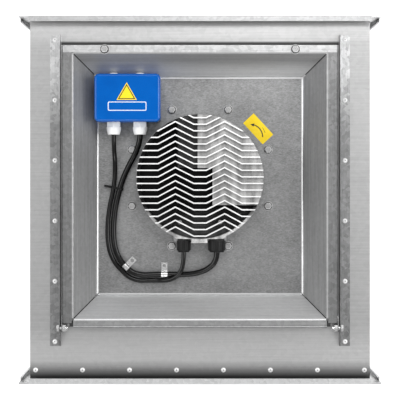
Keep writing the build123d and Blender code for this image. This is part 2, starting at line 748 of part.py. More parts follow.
with BuildPart() as tray_panel:
    add(outer_body)
    with BuildSketch(Plane.XY.offset(rim_z - tray_sheet)):
        with Locations((0, (rim_near_y + rim_far_y) / 2)):
            Rectangle(tray_mouth_x, rim_far_y - rim_near_y)
        with Locations((0, (side_rim_near_y + rim_far_y) / 2)):
            Rectangle(2 * rim_x, rim_far_y - side_rim_near_y)
    extrude(amount=tray_sheet)
    add(inner_space, mode=Mode.SUBTRACT)
    # Lips folded from the rim: down along both sides and the bolt side, up along the hinge side.
    with BuildSketch(Plane.XY.offset(rim_z)):
        for side in (-1, 1):
            with Locations((side * (rim_x - tray_sheet / 2), (ear_foot_y + rim_far_y) / 2)):
                Rectangle(tray_sheet, rim_far_y - ear_foot_y)
        with Locations((0, rim_far_y - tray_sheet / 2)):
            Rectangle(2 * rim_x, tray_sheet)
    extrude(amount=-(rim_side_lip + tray_sheet))
    with BuildSketch(Plane.XY.offset(rim_z - tray_sheet)):
        with Locations((0, rim_near_y + tray_sheet / 2)):
            Rectangle(tray_mouth_x, tray_sheet)
    extrude(amount=rim_near_lip + tray_sheet)
    # Ears round the pivots.
    for side in (-1, 1):
        with BuildSketch(Plane.YZ.offset(side * (rim_x - tray_sheet / 2))):
            with Locations((pivot_y, pivot_z)):
                Circle(ear_r)
            with BuildLine():
                Polyline(
                    (pivot_y, pivot_z - ear_r), (ear_foot_y + 1.0, rim_z - tray_sheet - rim_side_lip),
                    (ear_foot_y + 1.0, rim_z), (pivot_y, pivot_z + ear_r), close=True,
                )
            make_face()
            with Locations((pivot_y, pivot_z)):
                Circle(m8_r + pivot_play, mode=Mode.SUBTRACT)
        extrude(amount=tray_sheet / 2, both=True)
    # Open corner seams.
    for sx in (-1, 1):
        for sy in (-1, 1):
            seam_angle = 45.0 if sx * sy > 0 else -45.0
            seam_middle_x = sx * (tray_base_x + tray_mouth_x) / 4
            seam_middle_y = tray_centre_y + sy * (tray_base_y + tray_mouth_y) / 4
            with BuildSketch(Plane.XY.offset(base_z + seam_foot)):
                with Locations(Location((seam_middle_x, seam_middle_y, 0), seam_angle)):
                    Rectangle(tray_side_run * seam_reach, seam_width)
            extrude(amount=tray_depth - seam_foot - tray_sheet - seam_head, mode=Mode.SUBTRACT)
    # Holes in the base plate and the rim.
    with BuildSketch(Plane.XY.offset(base_z + 1.0)):
        with Locations((0, motor_y)):
            Circle(housing_r + housing_hole_gap)
        with Locations((0, (motor_y + gland_block_face_y) / 2 - housing_hole_gap)):
            Rectangle(2 * (gland_block_x + housing_hole_gap), motor_y - gland_block_face_y)
        with Locations(*motor_bolt_points):
            Circle(m8_hole_r)
        with Locations(*box_screw_points, *[(c[3], c[4]) for c in clips]):
            Circle(m5_hole_r)
    extrude(amount=-(tray_sheet + 2.0), mode=Mode.SUBTRACT)
    with Locations(*[(x, panel_bolt_y, rim_z) for x in (-panel_bolt_x, panel_bolt_x)]):
        Cylinder(m8_hole_r, 10.0, mode=Mode.SUBTRACT)
finish(tray_panel, "tray_panel")

panel_bolt = hex_bolt_form(m8_r, panel_bolt_length, m8_hex_r, m8_head)
with BuildPart() as panel_bolts:
    with Locations(*[(x, panel_bolt_y, rim_z + washer_thickness) for x in (-panel_bolt_x, panel_bolt_x)]):
        add(panel_bolt)
finish(panel_bolts, "panel_bolts")

# ================================================================ motor support
stator_screw_r = 62.0
housing_screw_r = housing_r - housing_wall / 2
support_bottom_z = support_z - support_plate
with BuildPart() as motor_support_plate:
    with BuildSketch(level(support_bottom_z)):
        Circle(support_r)
        Circle(stator_boss_r, mode=Mode.SUBTRACT)
        with PolarLocations(motor_bolt_pcd / 2, motor_bolt_count, start_angle=22.5):
            Circle(m8_hole_r, mode=Mode.SUBTRACT)
        with PolarLocations(stator_screw_r, 4, start_angle=45):
            Circle(m5_hole_r, mode=Mode.SUBTRACT)
        with PolarLocations(housing_screw_r, 6):
            Circle(m5_hole_r, mode=Mode.SUBTRACT)
    extrude(amount=support_plate)
finish(motor_support_plate, "motor_support_plate")

motor_bolt = hex_bolt_form(m8_r, motor_bolt_length, m8_hex_r, m8_head)
with BuildPart() as motor_bolts:
    with Locations(*[(x, y, base_z + washer_thickness) for x, y in motor_bolt_points]):
        add(motor_bolt)
finish(motor_bolts, "motor_bolts")

m8_washer = washer_form(m8_hole_r - 0.3)
with BuildPart() as m8_washers:
    with Locations(*[(x, y, base_z) for x, y in motor_bolt_points]):
        add(m8_washer)
    with Locations(*[(x, panel_bolt_y, rim_z) for x in (-panel_bolt_x, panel_bolt_x)]):
        add(m8_washer)
finish(m8_washers, "m8_washers")

m8_nut_form = nut_form(m8_r + thread_gap, m8_hex_r, m8_nut)
with BuildPart() as motor_bolt_nuts:
    with Locations(*[(x, y, support_bottom_z - m8_nut) for x, y in motor_bolt_points]):
        add(m8_nut_form)
finish(motor_bolt_nuts, "motor_bolt_nuts")

# ================================================================ electronics housing
# Side of the bar, middle, outer radius and cable radius of the two glands.
motor_glands = (
    (-1, gland_left_x, motor_gland_left_r, control_cable_r),
    (1, gland_right_x, motor_gland_right_r, power_cable_r),
)
fin_foot_z = roof_z + housing_roof - join_depth
with BuildPart() as fin_field:
    with BuildSketch(Plane(origin=(0, motor_y + fin_field_shift, fin_foot_z))):
        for row in range(-fin_side_count, fin_side_count + 1):
            flat_y = row * fin_pitch
            with BuildLine():
                Polyline(
                    (-housing_r, flat_y), (-fin_outer_flat, flat_y),
                    (-fin_crest_x, flat_y + fin_crest_rise), (-fin_inner_flat, flat_y),
                    (fin_inner_flat, flat_y), (fin_crest_x, flat_y + fin_crest_rise),
                    (fin_outer_flat, flat_y), (housing_r, flat_y),
                )
            trace(line_width=fin_thickness)
    extrude(amount=fin_top_z - fin_foot_z)
    # Raised floors over the power modules, and two screw bosses.
    for left, right, near, far, height in raised_floors:
        with BuildSketch(Plane(origin=((left + right) / 2, motor_y + (near + far) / 2, fin_foot_z))):
            Rectangle(right - left, far - near)
        extrude(amount=height + join_depth)
    with BuildSketch(level(fin_foot_z)):
        with Locations((-fin_boss_x, fin_boss_y), (fin_boss_x, fin_boss_y)):
            Circle(fin_boss_r)
    extrude(amount=fin_boss_height + join_depth)
    with Locations((0, motor_y, roof_z)):
        Cylinder(housing_r - fin_edge_inset, through, mode=Mode.INTERSECT)

with BuildPart() as heat_sink_housing:
    with BuildSketch(level(support_z)):
        Circle(housing_r)
    extrude(amount=roof_z + housing_roof - support_z)
    skirt = heat_sink_housing.faces().sort_by(Axis.Z)[-1]
    fillet(skirt.edges(), 2.0)
    with BuildSketch(level(support_z)):
        with Locations((0, (gland_seat_y - motor_y - gland_block_root) / 2)):
            block = Rectangle(2 * gland_block_x, motor_y - gland_seat_y - gland_block_root)
        fillet(block.vertices().group_by(Axis.Y)[0], gland_block_corner_r)
    extrude(amount=gland_block_height)
    with BuildSketch(level(support_z)):
        Circle(housing_r - housing_wall)
    extrude(amount=cavity_height, mode=Mode.SUBTRACT)
    with BuildSketch(level(fin_foot_z)):
        Circle(housing_r - rim_ring_inset)
        Circle(housing_r - rim_ring_inset - rim_ring_width, mode=Mode.SUBTRACT)
    extrude(amount=rim_ring_height)
    add(fin_field.part)
    # The glands sit behind the face, on both sides of a bar, each in front of its wiring bore.
    for side, gland_x, outer_r, cable_r in motor_glands:
        bar_edge_x = gland_x - side * (outer_r + gland_pocket_gap)
        with BuildSketch(Plane.XY.offset(support_z)):
            with Locations(((bar_edge_x + side * housing_r) / 2, gland_block_face_y)):
                Rectangle(abs(side * housing_r - bar_edge_x), 2 * gland_seat_depth)
        extrude(amount=through, mode=Mode.SUBTRACT)
        with BuildSketch(Plane.XY.offset(support_z)):
            with Locations((bar_edge_x / 2, gland_seat_y - gland_seat_depth / 2)):
                Rectangle(abs(bar_edge_x), gland_seat_depth)
        extrude(amount=gland_block_height)
        with Locations(Plane(origin=(gland_x, gland_seat_y, gland_z), z_dir=(0, 1, 0)).location):
            Cylinder(cable_r + cable_play + thread_wall + thread_play, through / 2, mode=Mode.SUBTRACT)
    with Locations((0, motor_y, support_z)):
        with PolarLocations(housing_screw_r, 6):
            Cylinder(m5_r + thread_gap, 24.0, mode=Mode.SUBTRACT)
finish(heat_sink_housing, "heat_sink_housing")

m5_screw = pan_screw_form(m5_r, 10.0, m5_head_r, m5_head)
with BuildPart() as motor_screws:
    with Locations(Location((0, motor_y, support_bottom_z), (180, 0, 0))):
        with PolarLocations(housing_screw_r, 6):
            add(m5_screw)
    with Locations((0, motor_y, support_z)):
        with PolarLocations(stator_screw_r, 4, start_angle=45):
            add(m5_screw)
finish(motor_screws, "motor_screws")

board_bottom_clearance = board_z - support_z
with BuildPart() as electronics_board:
    with BuildSketch(level(board_z)):
        Circle(board_r)
        with PolarLocations(board_r - board_hole_inset, 4, start_angle=45):
            Circle(m5_hole_r, mode=Mode.SUBTRACT)
        with Locations((0, -board_r)):
            Rectangle(board_notch_x, board_notch_y, mode=Mode.SUBTRACT)
    extrude(amount=board_thickness)
    with BuildSketch(level(support_z)):
        with PolarLocations(board_r - board_post_inset, 4, start_angle=45):
            Circle(board_post_r)
    extrude(amount=board_bottom_clearance)
    with BuildSketch(level(board_z + board_thickness)):
        with Locations((0, capacitor_y)):
            with GridLocations(capacitor_pitch, capacitor_pitch, 3, 2):
                Circle(capacitor_r)
        with Locations((-filter_x, 0)):
            Rectangle(filter_length, filter_width)
    extrude(amount=capacitor_height)
finish(electronics_board, "electronics_board")

# ================================================================ stator
boss_bottom_z = support_bottom_z - stator_flange - stator_boss_length
lower_bearing_z = boss_bottom_z + 3.0
upper_bearing_z = support_bottom_z - stator_flange - bearing_width + 4.0
with BuildPart() as stator_flange_body:
    with BuildSketch(level(support_bottom_z)):
        Circle(stator_flange_r)
    extrude(amount=-stator_flange)
    with BuildSketch(level(support_bottom_z)):
        Circle(stator_boss_r)
    extrude(amount=-(stator_flange + stator_boss_length))
    with BuildSketch(level(boss_bottom_z - 1.0)):
        Circle(bearing_r - 3.0)
    extrude(amount=through, mode=Mode.SUBTRACT)
    for seat_z, depth in ((boss_bottom_z - 1.0, bearing_width + 4.0), (upper_bearing_z, through)):
        with BuildSketch(level(seat_z)):
            Circle(bearing_r + bearing_play)
        extrude(amount=depth, mode=Mode.SUBTRACT)
    with BuildSketch(level(support_bottom_z)):
        with PolarLocations(stator_screw_r, 4, start_angle=45):
            Circle(m5_r + thread_gap)
    extrude(amount=-stator_flange - 1.0, mode=Mode.SUBTRACT)
finish(stator_flange_body, "stator_flange")

core_z = boss_bottom_z + 8.0
core_yoke_r = stator_boss_r + 0.1 + core_yoke
with BuildPart() as stator_core:
    with BuildSketch(level(core_z)):
        Circle(core_yoke_r)
        with PolarLocations((core_yoke_r + core_r) / 2 - 3.0, slot_count):
            Rectangle(core_r - core_yoke_r, tooth_width)
        with BuildSketch(mode=Mode.PRIVATE) as tooth_tips:
            Circle(core_r)
            Circle(core_r - 5.0, mode=Mode.SUBTRACT)
            with PolarLocations(core_r, slot_count, start_angle=180 / slot_count):
                Rectangle(20.0, 5.0, mode=Mode.SUBTRACT)
        add(tooth_tips.sketch)
        Circle(stator_boss_r + 0.1, mode=Mode.SUBTRACT)
    extrude(amount=core_length)
finish(stator_core, "stator_core")

coil_thickness = 5.0
coil_overhang = 7.0
coil_r = (core_yoke_r + core_r - 5.0) / 2
coil_run = core_r - 5.0 - core_yoke_r - 1.6
with BuildPart() as stator_windings:
    with BuildSketch(level(core_z - coil_overhang)):
        with PolarLocations(coil_r, slot_count):
            Rectangle(coil_run, tooth_width + 2 * coil_thickness)
        with BuildSketch(mode=Mode.PRIVATE) as wedges:
            Circle(core_r - 5.4)
            Circle(core_yoke_r + 0.4, mode=Mode.SUBTRACT)
            with PolarLocations(core_r / 2, slot_count, start_angle=180 / slot_count):
                Rectangle(core_r, 1.2, mode=Mode.SUBTRACT)
        add(wedges.sketch, mode=Mode.INTERSECT)
    extrude(amount=core_length + 2 * coil_overhang)
    with BuildSketch(level(core_z - 0.4)):
        with PolarLocations(coil_r, slot_count):
            Rectangle(coil_run + 20.0, tooth_width + 0.4)
    extrude(amount=core_length + 0.8, mode=Mode.SUBTRACT)
finish(stator_windings, "stator_windings")


def bearing(bottom_z, label):
    """A sealed deep-groove bearing, drawn as one closed ring with its shield grooves."""
    with BuildPart() as ring:
        with BuildSketch(level(bottom_z)):
            Circle(bearing_r)
            Circle(bearing_bore_r, mode=Mode.SUBTRACT)
        extrude(amount=bearing_width)
        for face_z, depth in ((bottom_z, 0.6), (bottom_z + bearing_width, -0.6)):
            with BuildSketch(level(face_z)):
                Circle(bearing_r - 2.6)
                Circle(bearing_bore_r + 2.2, mode=Mode.SUBTRACT)
            extrude(amount=depth, mode=Mode.SUBTRACT)
    finish(ring, label)


bearing(lower_bearing_z, "lower_bearing")
bearing(upper_bearing_z, "upper_bearing")

# ================================================================ rotor and impeller
bell_top_z = back_plate_z
bell_inner_r = bell_r - bell_wall
with BuildPart() as rotor_bell:
    with BuildSketch(level(bell_bottom_z)):
        Circle(bell_r)
    extrude(amount=bell_top_z - bell_bottom_z)
    fillet(rotor_bell.edges().group_by(Axis.Z)[0], 8.0)
    with BuildSketch(level(bell_top_z - bell_flange)):
        Circle(bell_flange_r)
    extrude(amount=bell_flange)
    with BuildSketch(level(bell_bottom_z + bell_floor)):
        Circle(bell_inner_r)
    extrude(amount=through, mode=Mode.SUBTRACT)
    with BuildSketch(level(bell_bottom_z + bell_floor)):
        Circle(bell_hub_r)
    extrude(amount=bell_hub_height - bell_floor)
    with BuildSketch(level(bell_bottom_z)):
        Circle(shaft_r + weld_gap)
    extrude(amount=through, mode=Mode.SUBTRACT)
    with BuildSketch(level(bell_top_z)):
        with PolarLocations((bell_r + bell_flange_r) / 2, bell_rivet_count):
            Circle(rivet_hole_r)
    extrude(amount=-bell_flange, mode=Mode.SUBTRACT)
finish(rotor_bell, "rotor_bell")

with BuildPart() as rotor_magnets:
    with BuildSketch(level(core_z - 2.0)):
        Circle(bell_inner_r - weld_gap)
        Circle(bell_inner_r - weld_gap - magnet_thickness, mode=Mode.SUBTRACT)
        with PolarLocations(bell_inner_r, magnet_count):
            Rectangle(3 * magnet_thickness, 1.5, mode=Mode.SUBTRACT)
    extrude(amount=core_length + 4.0)
finish(rotor_magnets, "rotor_magnets")

shaft_top_z = upper_bearing_z + bearing_width + 5.0
circlip_z = upper_bearing_z + bearing_width + 0.4
with BuildPart() as motor_shaft:
    with BuildSketch(level(bell_bottom_z + 0.5)):
        Circle(shaft_r)
    extrude(amount=shaft_top_z - bell_bottom_z - 0.5)
    chamfer(motor_shaft.edges().group_by(Axis.Z)[-1], 0.8)
    with BuildSketch(level(circlip_z - 0.1)):
        Circle(shaft_r + 1.0)
        Circle(shaft_r - 0.7, mode=Mode.SUBTRACT)
    extrude(amount=circlip_thickness + 0.2, mode=Mode.SUBTRACT)
finish(motor_shaft, "motor_shaft")

with BuildPart() as shaft_circlip:
    with BuildSketch(level(circlip_z)):
        Circle(shaft_r + 2.4)
        Circle(shaft_r - 0.6, mode=Mode.SUBTRACT)
        with Locations((shaft_r, 0)):
            Rectangle(8.0, 4.0, mode=Mode.SUBTRACT)
    extrude(amount=circlip_thickness)
finish(shaft_circlip, "shaft_circlip")

with BuildPart() as impeller_back_plate:
    with BuildSketch(level(back_plate_z)):
        Circle(impeller_r)
        Circle(bell_inner_r, mode=Mode.SUBTRACT)
        with PolarLocations((bell_r + bell_flange_r) / 2, bell_rivet_count):
            Circle(rivet_hole_r, mode=Mode.SUBTRACT)
    extrude(amount=back_plate)
finish(impeller_back_plate, "impeller_back_plate")

impeller_axis = Axis((0, motor_y, 0), (0, 0, 1))
rotor_section = Plane(origin=(0, motor_y, eye_z), x_dir=(1, 0, 0), z_dir=(0, -1, 0))
shroud_reach = impeller_r - eye_r
inner_rise = shroud_rise - shroud_sheet
with BuildPart() as impeller_shroud:
    with BuildSketch(rotor_section):
        with BuildLine():
            EllipticalCenterArc((impeller_r, 0), shroud_reach, shroud_rise, 90, arc_size=90)
            Line((eye_r, 0), (eye_r + shroud_sheet, 0))
            EllipticalCenterArc((impeller_r, 0), shroud_reach - shroud_sheet, inner_rise, 90, arc_size=90)
            Line((impeller_r, inner_rise), (impeller_r, shroud_rise))
        make_face()
    revolve(axis=impeller_axis)
finish(impeller_shroud, "impeller_shroud")

# The room between the shroud and the back plate, which the blades fill from face to face.
with BuildPart() as blade_room:
    with BuildSketch(rotor_section):
        room_top = back_plate_z - eye_z - weld_gap
        room_reach = shroud_reach + weld_gap
        room_rise = shroud_rise + weld_gap
        room_inner_r = bell_flange_r + 4.0
        with BuildLine():
            EllipticalCenterArc((impeller_r, 0), room_reach, room_rise, 90, arc_size=90)
            Polyline(
                (eye_r - weld_gap, 0), (room_inner_r, 0), (room_inner_r, room_top),
                (impeller_r, room_top), (impeller_r, room_rise),
            )
        make_face()
    revolve(axis=impeller_axis)

blade_tip_r = impeller_r - 1.5
with BuildPart() as impeller_blades:
    with BuildSketch(level(eye_z)):
        with BuildLine() as camber:
            root = Vector(blade_root_r, 0)
            tip = Vector(blade_tip_r, 0).rotate(Axis.Z, -blade_sweep)
            SagittaArc(root, tip, blade_bulge)
        with BuildSketch(mode=Mode.PRIVATE) as blade_section:
            add(camber.line)
            trace(line_width=blade_sheet)
        with PolarLocations(0, blade_count):
            add(blade_section.sketch)
    extrude(amount=back_plate_z - eye_z)
    add(blade_room.part, mode=Mode.INTERSECT)
finish(impeller_blades, "impeller_blades")

bell_rivet = rivet_form(bell_flange + back_plate)
with BuildPart() as impeller_rivets:
    with Locations((0, motor_y, back_plate_top)):
        with PolarLocations((bell_r + bell_flange_r) / 2, bell_rivet_count):
            add(bell_rivet)
finish(impeller_rivets, "impeller_rivets")

# ================================================================ cable glands on the motor
with BuildPart() as motor_gland_bodies:
    for _, gland_x, outer_r, cable_r in motor_glands:
        face = Plane(origin=(gland_x, gland_seat_y, gland_z), z_dir=(0, -1, 0))
        with BuildSketch(face):
            RegularPolygon(outer_r, 6)
        extrude(amount=motor_gland_collar)
        with BuildSketch(face):
            Circle(cable_r + cable_play + thread_wall)
        extrude(amount=-motor_gland_thread)
        with Locations(face.location):
            Cylinder(cable_r + cable_play, through / 2, mode=Mode.SUBTRACT)
finish(motor_gland_bodies, "motor_gland_bodies")

with BuildPart() as motor_gland_nuts:
    for _, gland_x, outer_r, cable_r in motor_glands:
        seat = Plane(origin=(gland_x, gland_seat_y - motor_gland_collar, gland_z), z_dir=(0, -1, 0))
        with BuildSketch(seat):
            Circle(outer_r)
            with PolarLocations(outer_r + motor_gland_flute_r / 2, motor_gland_flutes):
                Circle(motor_gland_flute_r, mode=Mode.SUBTRACT)
        extrude(amount=motor_gland_nut - motor_gland_mouth)
        with BuildSketch(seat.offset(motor_gland_nut - motor_gland_mouth)):
            Circle(outer_r - motor_gland_flute_r)
        extrude(amount=motor_gland_mouth, taper=25)
        with Locations(seat.location):
            Cylinder(cable_r + cable_play, through / 2, mode=Mode.SUBTRACT)
finish(motor_gland_nuts, "motor_gland_nuts")

# ================================================================ terminal box
base_length = box_length - 2 * box_lid_overhang
base_width = box_width - 2 * box_lid_overhang
box_front_y = box_y - base_width / 2
box_back_y = box_y + base_width / 2
gland_columns = (box_gland_left_x, box_gland_right_x)
with BuildPart() as terminal_box_base:
    with BuildSketch(Plane(origin=(box_x, box_y, base_z))):
        RectangleRounded(base_length, base_width, box_corner_r)
    extrude(amount=box_base_height)
    with BuildSketch(Plane(origin=(box_x, box_y, base_z + box_wall))):
        RectangleRounded(base_length - 2 * box_wall, base_width - 2 * box_wall, box_corner_r - box_wall)
    extrude(amount=box_base_height, mode=Mode.SUBTRACT)
    for column_x in gland_columns:
        with Locations(Plane(origin=(column_x, box_front_y, box_gland_z), z_dir=(0, 1, 0)).location):
            Cylinder(power_cable_r + cable_play + thread_wall + thread_play, 20.0, mode=Mode.SUBTRACT)
        with Locations(Plane(origin=(column_x, box_back_y, box_gland_z), z_dir=(0, 1, 0)).location):
            Cylinder(plug_thread_r + thread_play, 20.0, mode=Mode.SUBTRACT)
    with Locations(*[(x, y, base_z) for x, y in box_screw_points]):
        Cylinder(m5_hole_r, 20.0, mode=Mode.SUBTRACT)
finish(terminal_box_base, "terminal_box_base")

box_screw = pan_screw_form(m5_r, box_wall + 8.0, m5_head_r, m5_head)
with BuildPart() as box_screws:
    with Locations(*[(x, y, base_z + box_wall) for x, y in box_screw_points]):
        add(box_screw)
finish(box_screws, "box_screws")

strip_y = box_y + terminal_shift
strip_z = base_z + box_wall
strip_top_z = strip_z + terminal_height
with BuildPart() as terminal_strip:
    with BuildSketch(Plane(origin=(box_x, strip_y, strip_z))):
        Rectangle(terminal_poles * terminal_pitch, terminal_depth)
    extrude(amount=terminal_height)
    with BuildSketch(Plane(origin=(box_x, strip_y, strip_top_z))):
        with GridLocations(terminal_pitch, terminal_depth - 8.0, terminal_poles, 2):
            Circle(2.6)
    extrude(amount=-5.0, mode=Mode.SUBTRACT)
    with BuildSketch(Plane(origin=(box_x, strip_y, strip_top_z))):
        with GridLocations(terminal_pitch, 0, terminal_poles + 1, 1):
            Rectangle(0.8, terminal_depth)
    extrude(amount=-3.0, mode=Mode.SUBTRACT)
finish(terminal_strip, "terminal_strip")

with BuildPart() as terminal_box_lid:
    with BuildSketch(Plane(origin=(box_x, box_y, box_seam_z + seal_gap))):
        RectangleRounded(box_length, box_width, box_corner_r + box_lid_overhang)
    extrude(amount=box_lid_height)
    fillet(terminal_box_lid.faces().sort_by(Axis.Z)[-1].edges(), lid_edge_r)
    with BuildSketch(Plane(origin=(box_x, box_y, box_seam_z + seal_gap))):
        RectangleRounded(box_length - 2 * box_wall, box_width - 2 * box_wall, box_corner_r - box_wall + 1.0)
    extrude(amount=box_lid_height - box_wall, mode=Mode.SUBTRACT)
finish(terminal_box_lid, "terminal_box_lid")

seal_inset = box_lid_overhang + box_wall + 0.5
seal_length = box_length - 2 * seal_inset
seal_width = box_width - 2 * seal_inset
seal_band = 2.0
with BuildPart() as lid_seal:
    with BuildSketch(Plane(origin=(box_x, box_y, box_seam_z + seal_gap))):
        RectangleRounded(seal_length, seal_width, box_corner_r - box_wall)
        RectangleRounded(
            seal_length - 2 * seal_band, seal_width - 2 * seal_band, box_corner_r - box_wall - seal_band,
            mode=Mode.SUBTRACT,
        )
    extrude(amount=lid_lip)
finish(lid_seal, "lid_seal")

box_glands = ((box_gland_left_x, control_cable_r), (box_gland_right_x, power_cable_r))
with BuildPart() as box_gland_bodies:
    for column_x, cable_r in box_glands:
        face = Plane(origin=(column_x, box_front_y, box_gland_z), z_dir=(0, -1, 0))
        with BuildSketch(face):
            RegularPolygon(box_gland_r, 6)
        extrude(amount=box_gland_collar)
        with BuildSketch(face):
            Circle(power_cable_r + cable_play + thread_wall)
        extrude(amount=-box_gland_thread)
        with Locations(face.location):
            Cylinder(cable_r + cable_play, through / 2, mode=Mode.SUBTRACT)
finish(box_gland_bodies, "box_gland_bodies")

with BuildPart() as box_gland_nuts:
    for column_x, cable_r in box_glands:
        seat = Plane(origin=(column_x, box_front_y - box_gland_collar, box_gland_z), z_dir=(0, -1, 0))
        shoulder = seat.offset(box_gland_cap / 2)
        with BuildSketch(seat):
            Circle(box_gland_r)
        with BuildSketch(shoulder):
            Circle(box_gland_shoulder_r)
        loft()
        with BuildSketch(shoulder):
            Circle(box_gland_shoulder_r)
        with BuildSketch(seat.offset(box_gland_cap)):
            Circle(box_gland_tip_r)
        loft()
        with Locations(seat.location):
            Cylinder(cable_r + cable_play, through / 2, mode=Mode.SUBTRACT)
finish(box_gland_nuts, "box_gland_nuts")

with BuildPart() as blanking_plugs:
    for column_x in gland_columns:
        face = Plane(origin=(column_x, box_back_y, box_gland_z), z_dir=(0, 1, 0))
        with BuildSketch(face):
            Circle(plug_r)
        extrude(amount=plug_head)
        with BuildSketch(face):
            Circle(plug_thread_r)
        extrude(amount=-plug_thread)
    fillet(blanking_plugs.edges().group_by(Axis.Y)[-1], 2.0)
finish(blanking_plugs, "blanking_plugs")

# ================================================================ cables
# Routes from inside the motor's glands to inside the terminal box. The control cable crosses over the
# power cable beside the motor, and runs outside it round the bend.
low = clip_cable_z
step = clip_loop_r + control_cable_r            # from one cable to the other, past a clip
slant = step * sin(radians(45))
power_route = [
    (gland_right_x, -80.0, gland_z), (gland_right_x, -121.0, gland_z), (30.0, -137.0, gland_z - 1.5),
    (14.0, -150.5, gland_z - 6.0), (-10.0, -159.0, low + 3.0), (-40.0, -161.4, low + 0.2),
    (-58.0, -161.0, low), (-94.0, -161.0, low), (-124.0, -162.4, low), (-146.0, -156.0, low),
    (-169.0, -133.0, low), (-180.0, -110.0, low), (-184.6, -82.0, low), (-184.4, -52.0, low),
    (-180.6, -18.0, low), (-173.4, 14.0, low), (-164.0, 44.0, low + 0.4), (-151.0, 72.0, low + 3.0),
    (-136.0, 98.0, low + 12.0), (box_gland_right_x, 124.0, box_gland_z),
    (box_gland_right_x, 172.0, box_gland_z),
]
control_route = [
    (gland_left_x, -80.0, gland_z), (gland_left_x, -126.0, gland_z + 0.3), (-37.5, -147.0, gland_z + 0.6),
    (-48.0, -164.0, low + step - 0.15), (-64.0, -160.35 - step, low + 5.0),
    (-84.0, -162.05 - step, low - 1.0), (-104.0, -161.65 - step, low - 1.5),
    (-129.0, -162.85 - step, low - 1.5), (-143.4 - slant, -159.2 - slant, low - 1.5),
    (-172.4 - slant, -130.2 - slant, low - 1.5), (-180.85 - step, -113.0, low - 1.5),
    (-185.25 - step, -83.0, low - 1.5), (-185.05 - step, -51.0, low - 1.5),
    (-180.65 - step, -15.0, low - 1.5), (-173.45 - step, 16.0, low - 1.0), (-169.25 - step, 46.0, low),
    (-168.45 - step, 76.0, low + 5.0), (-169.45 - step, 102.0, low + 16.0),
    (box_gland_left_x, 126.0, box_gland_z), (box_gland_left_x, 172.0, box_gland_z),
]


def corner_radii(route):
    """The largest arc that each corner's two runs allow."""
    radii = []
    for before, corner, after in zip(route, route[1:], route[2:]):
        run_in = Vector(*corner) - Vector(*before)
        run_out = Vector(*after) - Vector(*corner)
        half_turn = radians(run_in.get_angle(run_out)) / 2
        radii.append(0.45 * min(run_in.length, run_out.length) / tan(half_turn))
    return radii


for route, cable_r, label in (
    (power_route, power_cable_r, "power_cable"), (control_route, control_cable_r, "control_cable"),
):
    radii = corner_radii(route)
    with BuildPart() as cable:
        with BuildLine() as cable_path:
            FilletPolyline(*route, radius=radii)
        with BuildSketch(Plane(origin=route[0], z_dir=(0, -1, 0))):
            Circle(cable_r)
        sweep()
    path_length = sum(edge.length for edge in cable_path.edges())
    expected = pi * cable_r**2 * path_length
    print(label, "radii", [round(r) for r in radii])
    print(label, "length", round(path_length, 1), "volume ratio", round(cable.part.volume / expected, 4))
    finish(cable, label)

# ================================================================ clips, tie and label
with BuildPart() as p_clips:
    for clip_x, clip_y, heading, _, _ in clips:
        across = Vector(cos(radians(heading - 90)), sin(radians(heading - 90)), 0)
        along = across.cross(Vector(0, 0, 1))
        section = Plane(origin=(clip_x, clip_y, clip_cable_z), x_dir=across, z_dir=along)
        with BuildSketch(section):
            Circle(clip_loop_r)
            with Locations(((clip_reach + 7.0) / 2, -clip_loop_r + clip_band)):
                Rectangle(clip_reach + 7.0, 2 * clip_band)
            with Locations(((clip_loop_r - clip_band) / 2 + 2.0, -clip_loop_r / 2 + clip_band)):
                Rectangle(clip_loop_r - 1.0, clip_loop_r)
            Circle(clip_loop_r - clip_band, mode=Mode.SUBTRACT)
        extrude(amount=clip_width / 2, both=True)
    with Locations(*[(c[3], c[4], base_z) for c in clips]):
        Cylinder(m5_hole_r, 20.0, mode=Mode.SUBTRACT)
finish(p_clips, "p_clips")

clip_screw_seat = clip_cable_z - clip_loop_r + 2 * clip_band
with BuildPart() as clip_screws:
    with Locations(*[(c[3], c[4], clip_screw_seat) for c in clips]):
        add(pan_screw_form(m5_r, 10.0, m5_head_r + 0.8, m5_head))
finish(clip_screws, "clip_screws")

tie_point = Vector(-171.5 - step / 2, 23.0, low + 0.05)
tie_heading = Vector(0.2, 0.98, 0).normalized()
tie_centres = step + 1.65       # between the middles of the two cables
tie_play = 0.6
tie_band = 0.8
tie_width = 4.6
tie_inner_r = power_cable_r + tie_play
tie_end = tie_centres / 2 + tie_inner_r + tie_band
tie_head_x = 4.5
tie_head_y = 7.0
tie_tail = 9.0
with BuildPart() as cable_tie:
    tie_plane = Plane(origin=tie_point, x_dir=Vector(0, 0, 1).cross(tie_heading), z_dir=tie_heading)
    with BuildSketch(tie_plane):
        SlotCenterToCenter(tie_centres, 2 * (tie_inner_r + tie_band))
        SlotCenterToCenter(tie_centres, 2 * tie_inner_r, mode=Mode.SUBTRACT)
        with Locations((tie_end + tie_head_x / 2 - tie_band / 2, 0)):
            Rectangle(tie_head_x, tie_head_y)
        with Locations((tie_end + tie_head_x + tie_tail / 2 - tie_band, tie_band)):
            Rectangle(tie_tail, tie_band)
    extrude(amount=tie_width / 2, both=True)
finish(cable_tie, "cable_tie")

label_length = 62.0
label_width = 31.0
label_angle = -47.3
with BuildPart() as rotation_label:
    with BuildSketch(Plane(origin=(124.4, 149.8, base_z))):
        with Locations(Location((0, 0, 0), label_angle)):
            RectangleRounded(label_length, label_width, 1.5)
    extrude(amount=0.4)
finish(rotation_label, "rotation_label")
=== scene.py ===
import json
from math import asin, atan2, cos, pi, radians, sin, tan

import bmesh
import bpy
from mathutils import Matrix, Vector

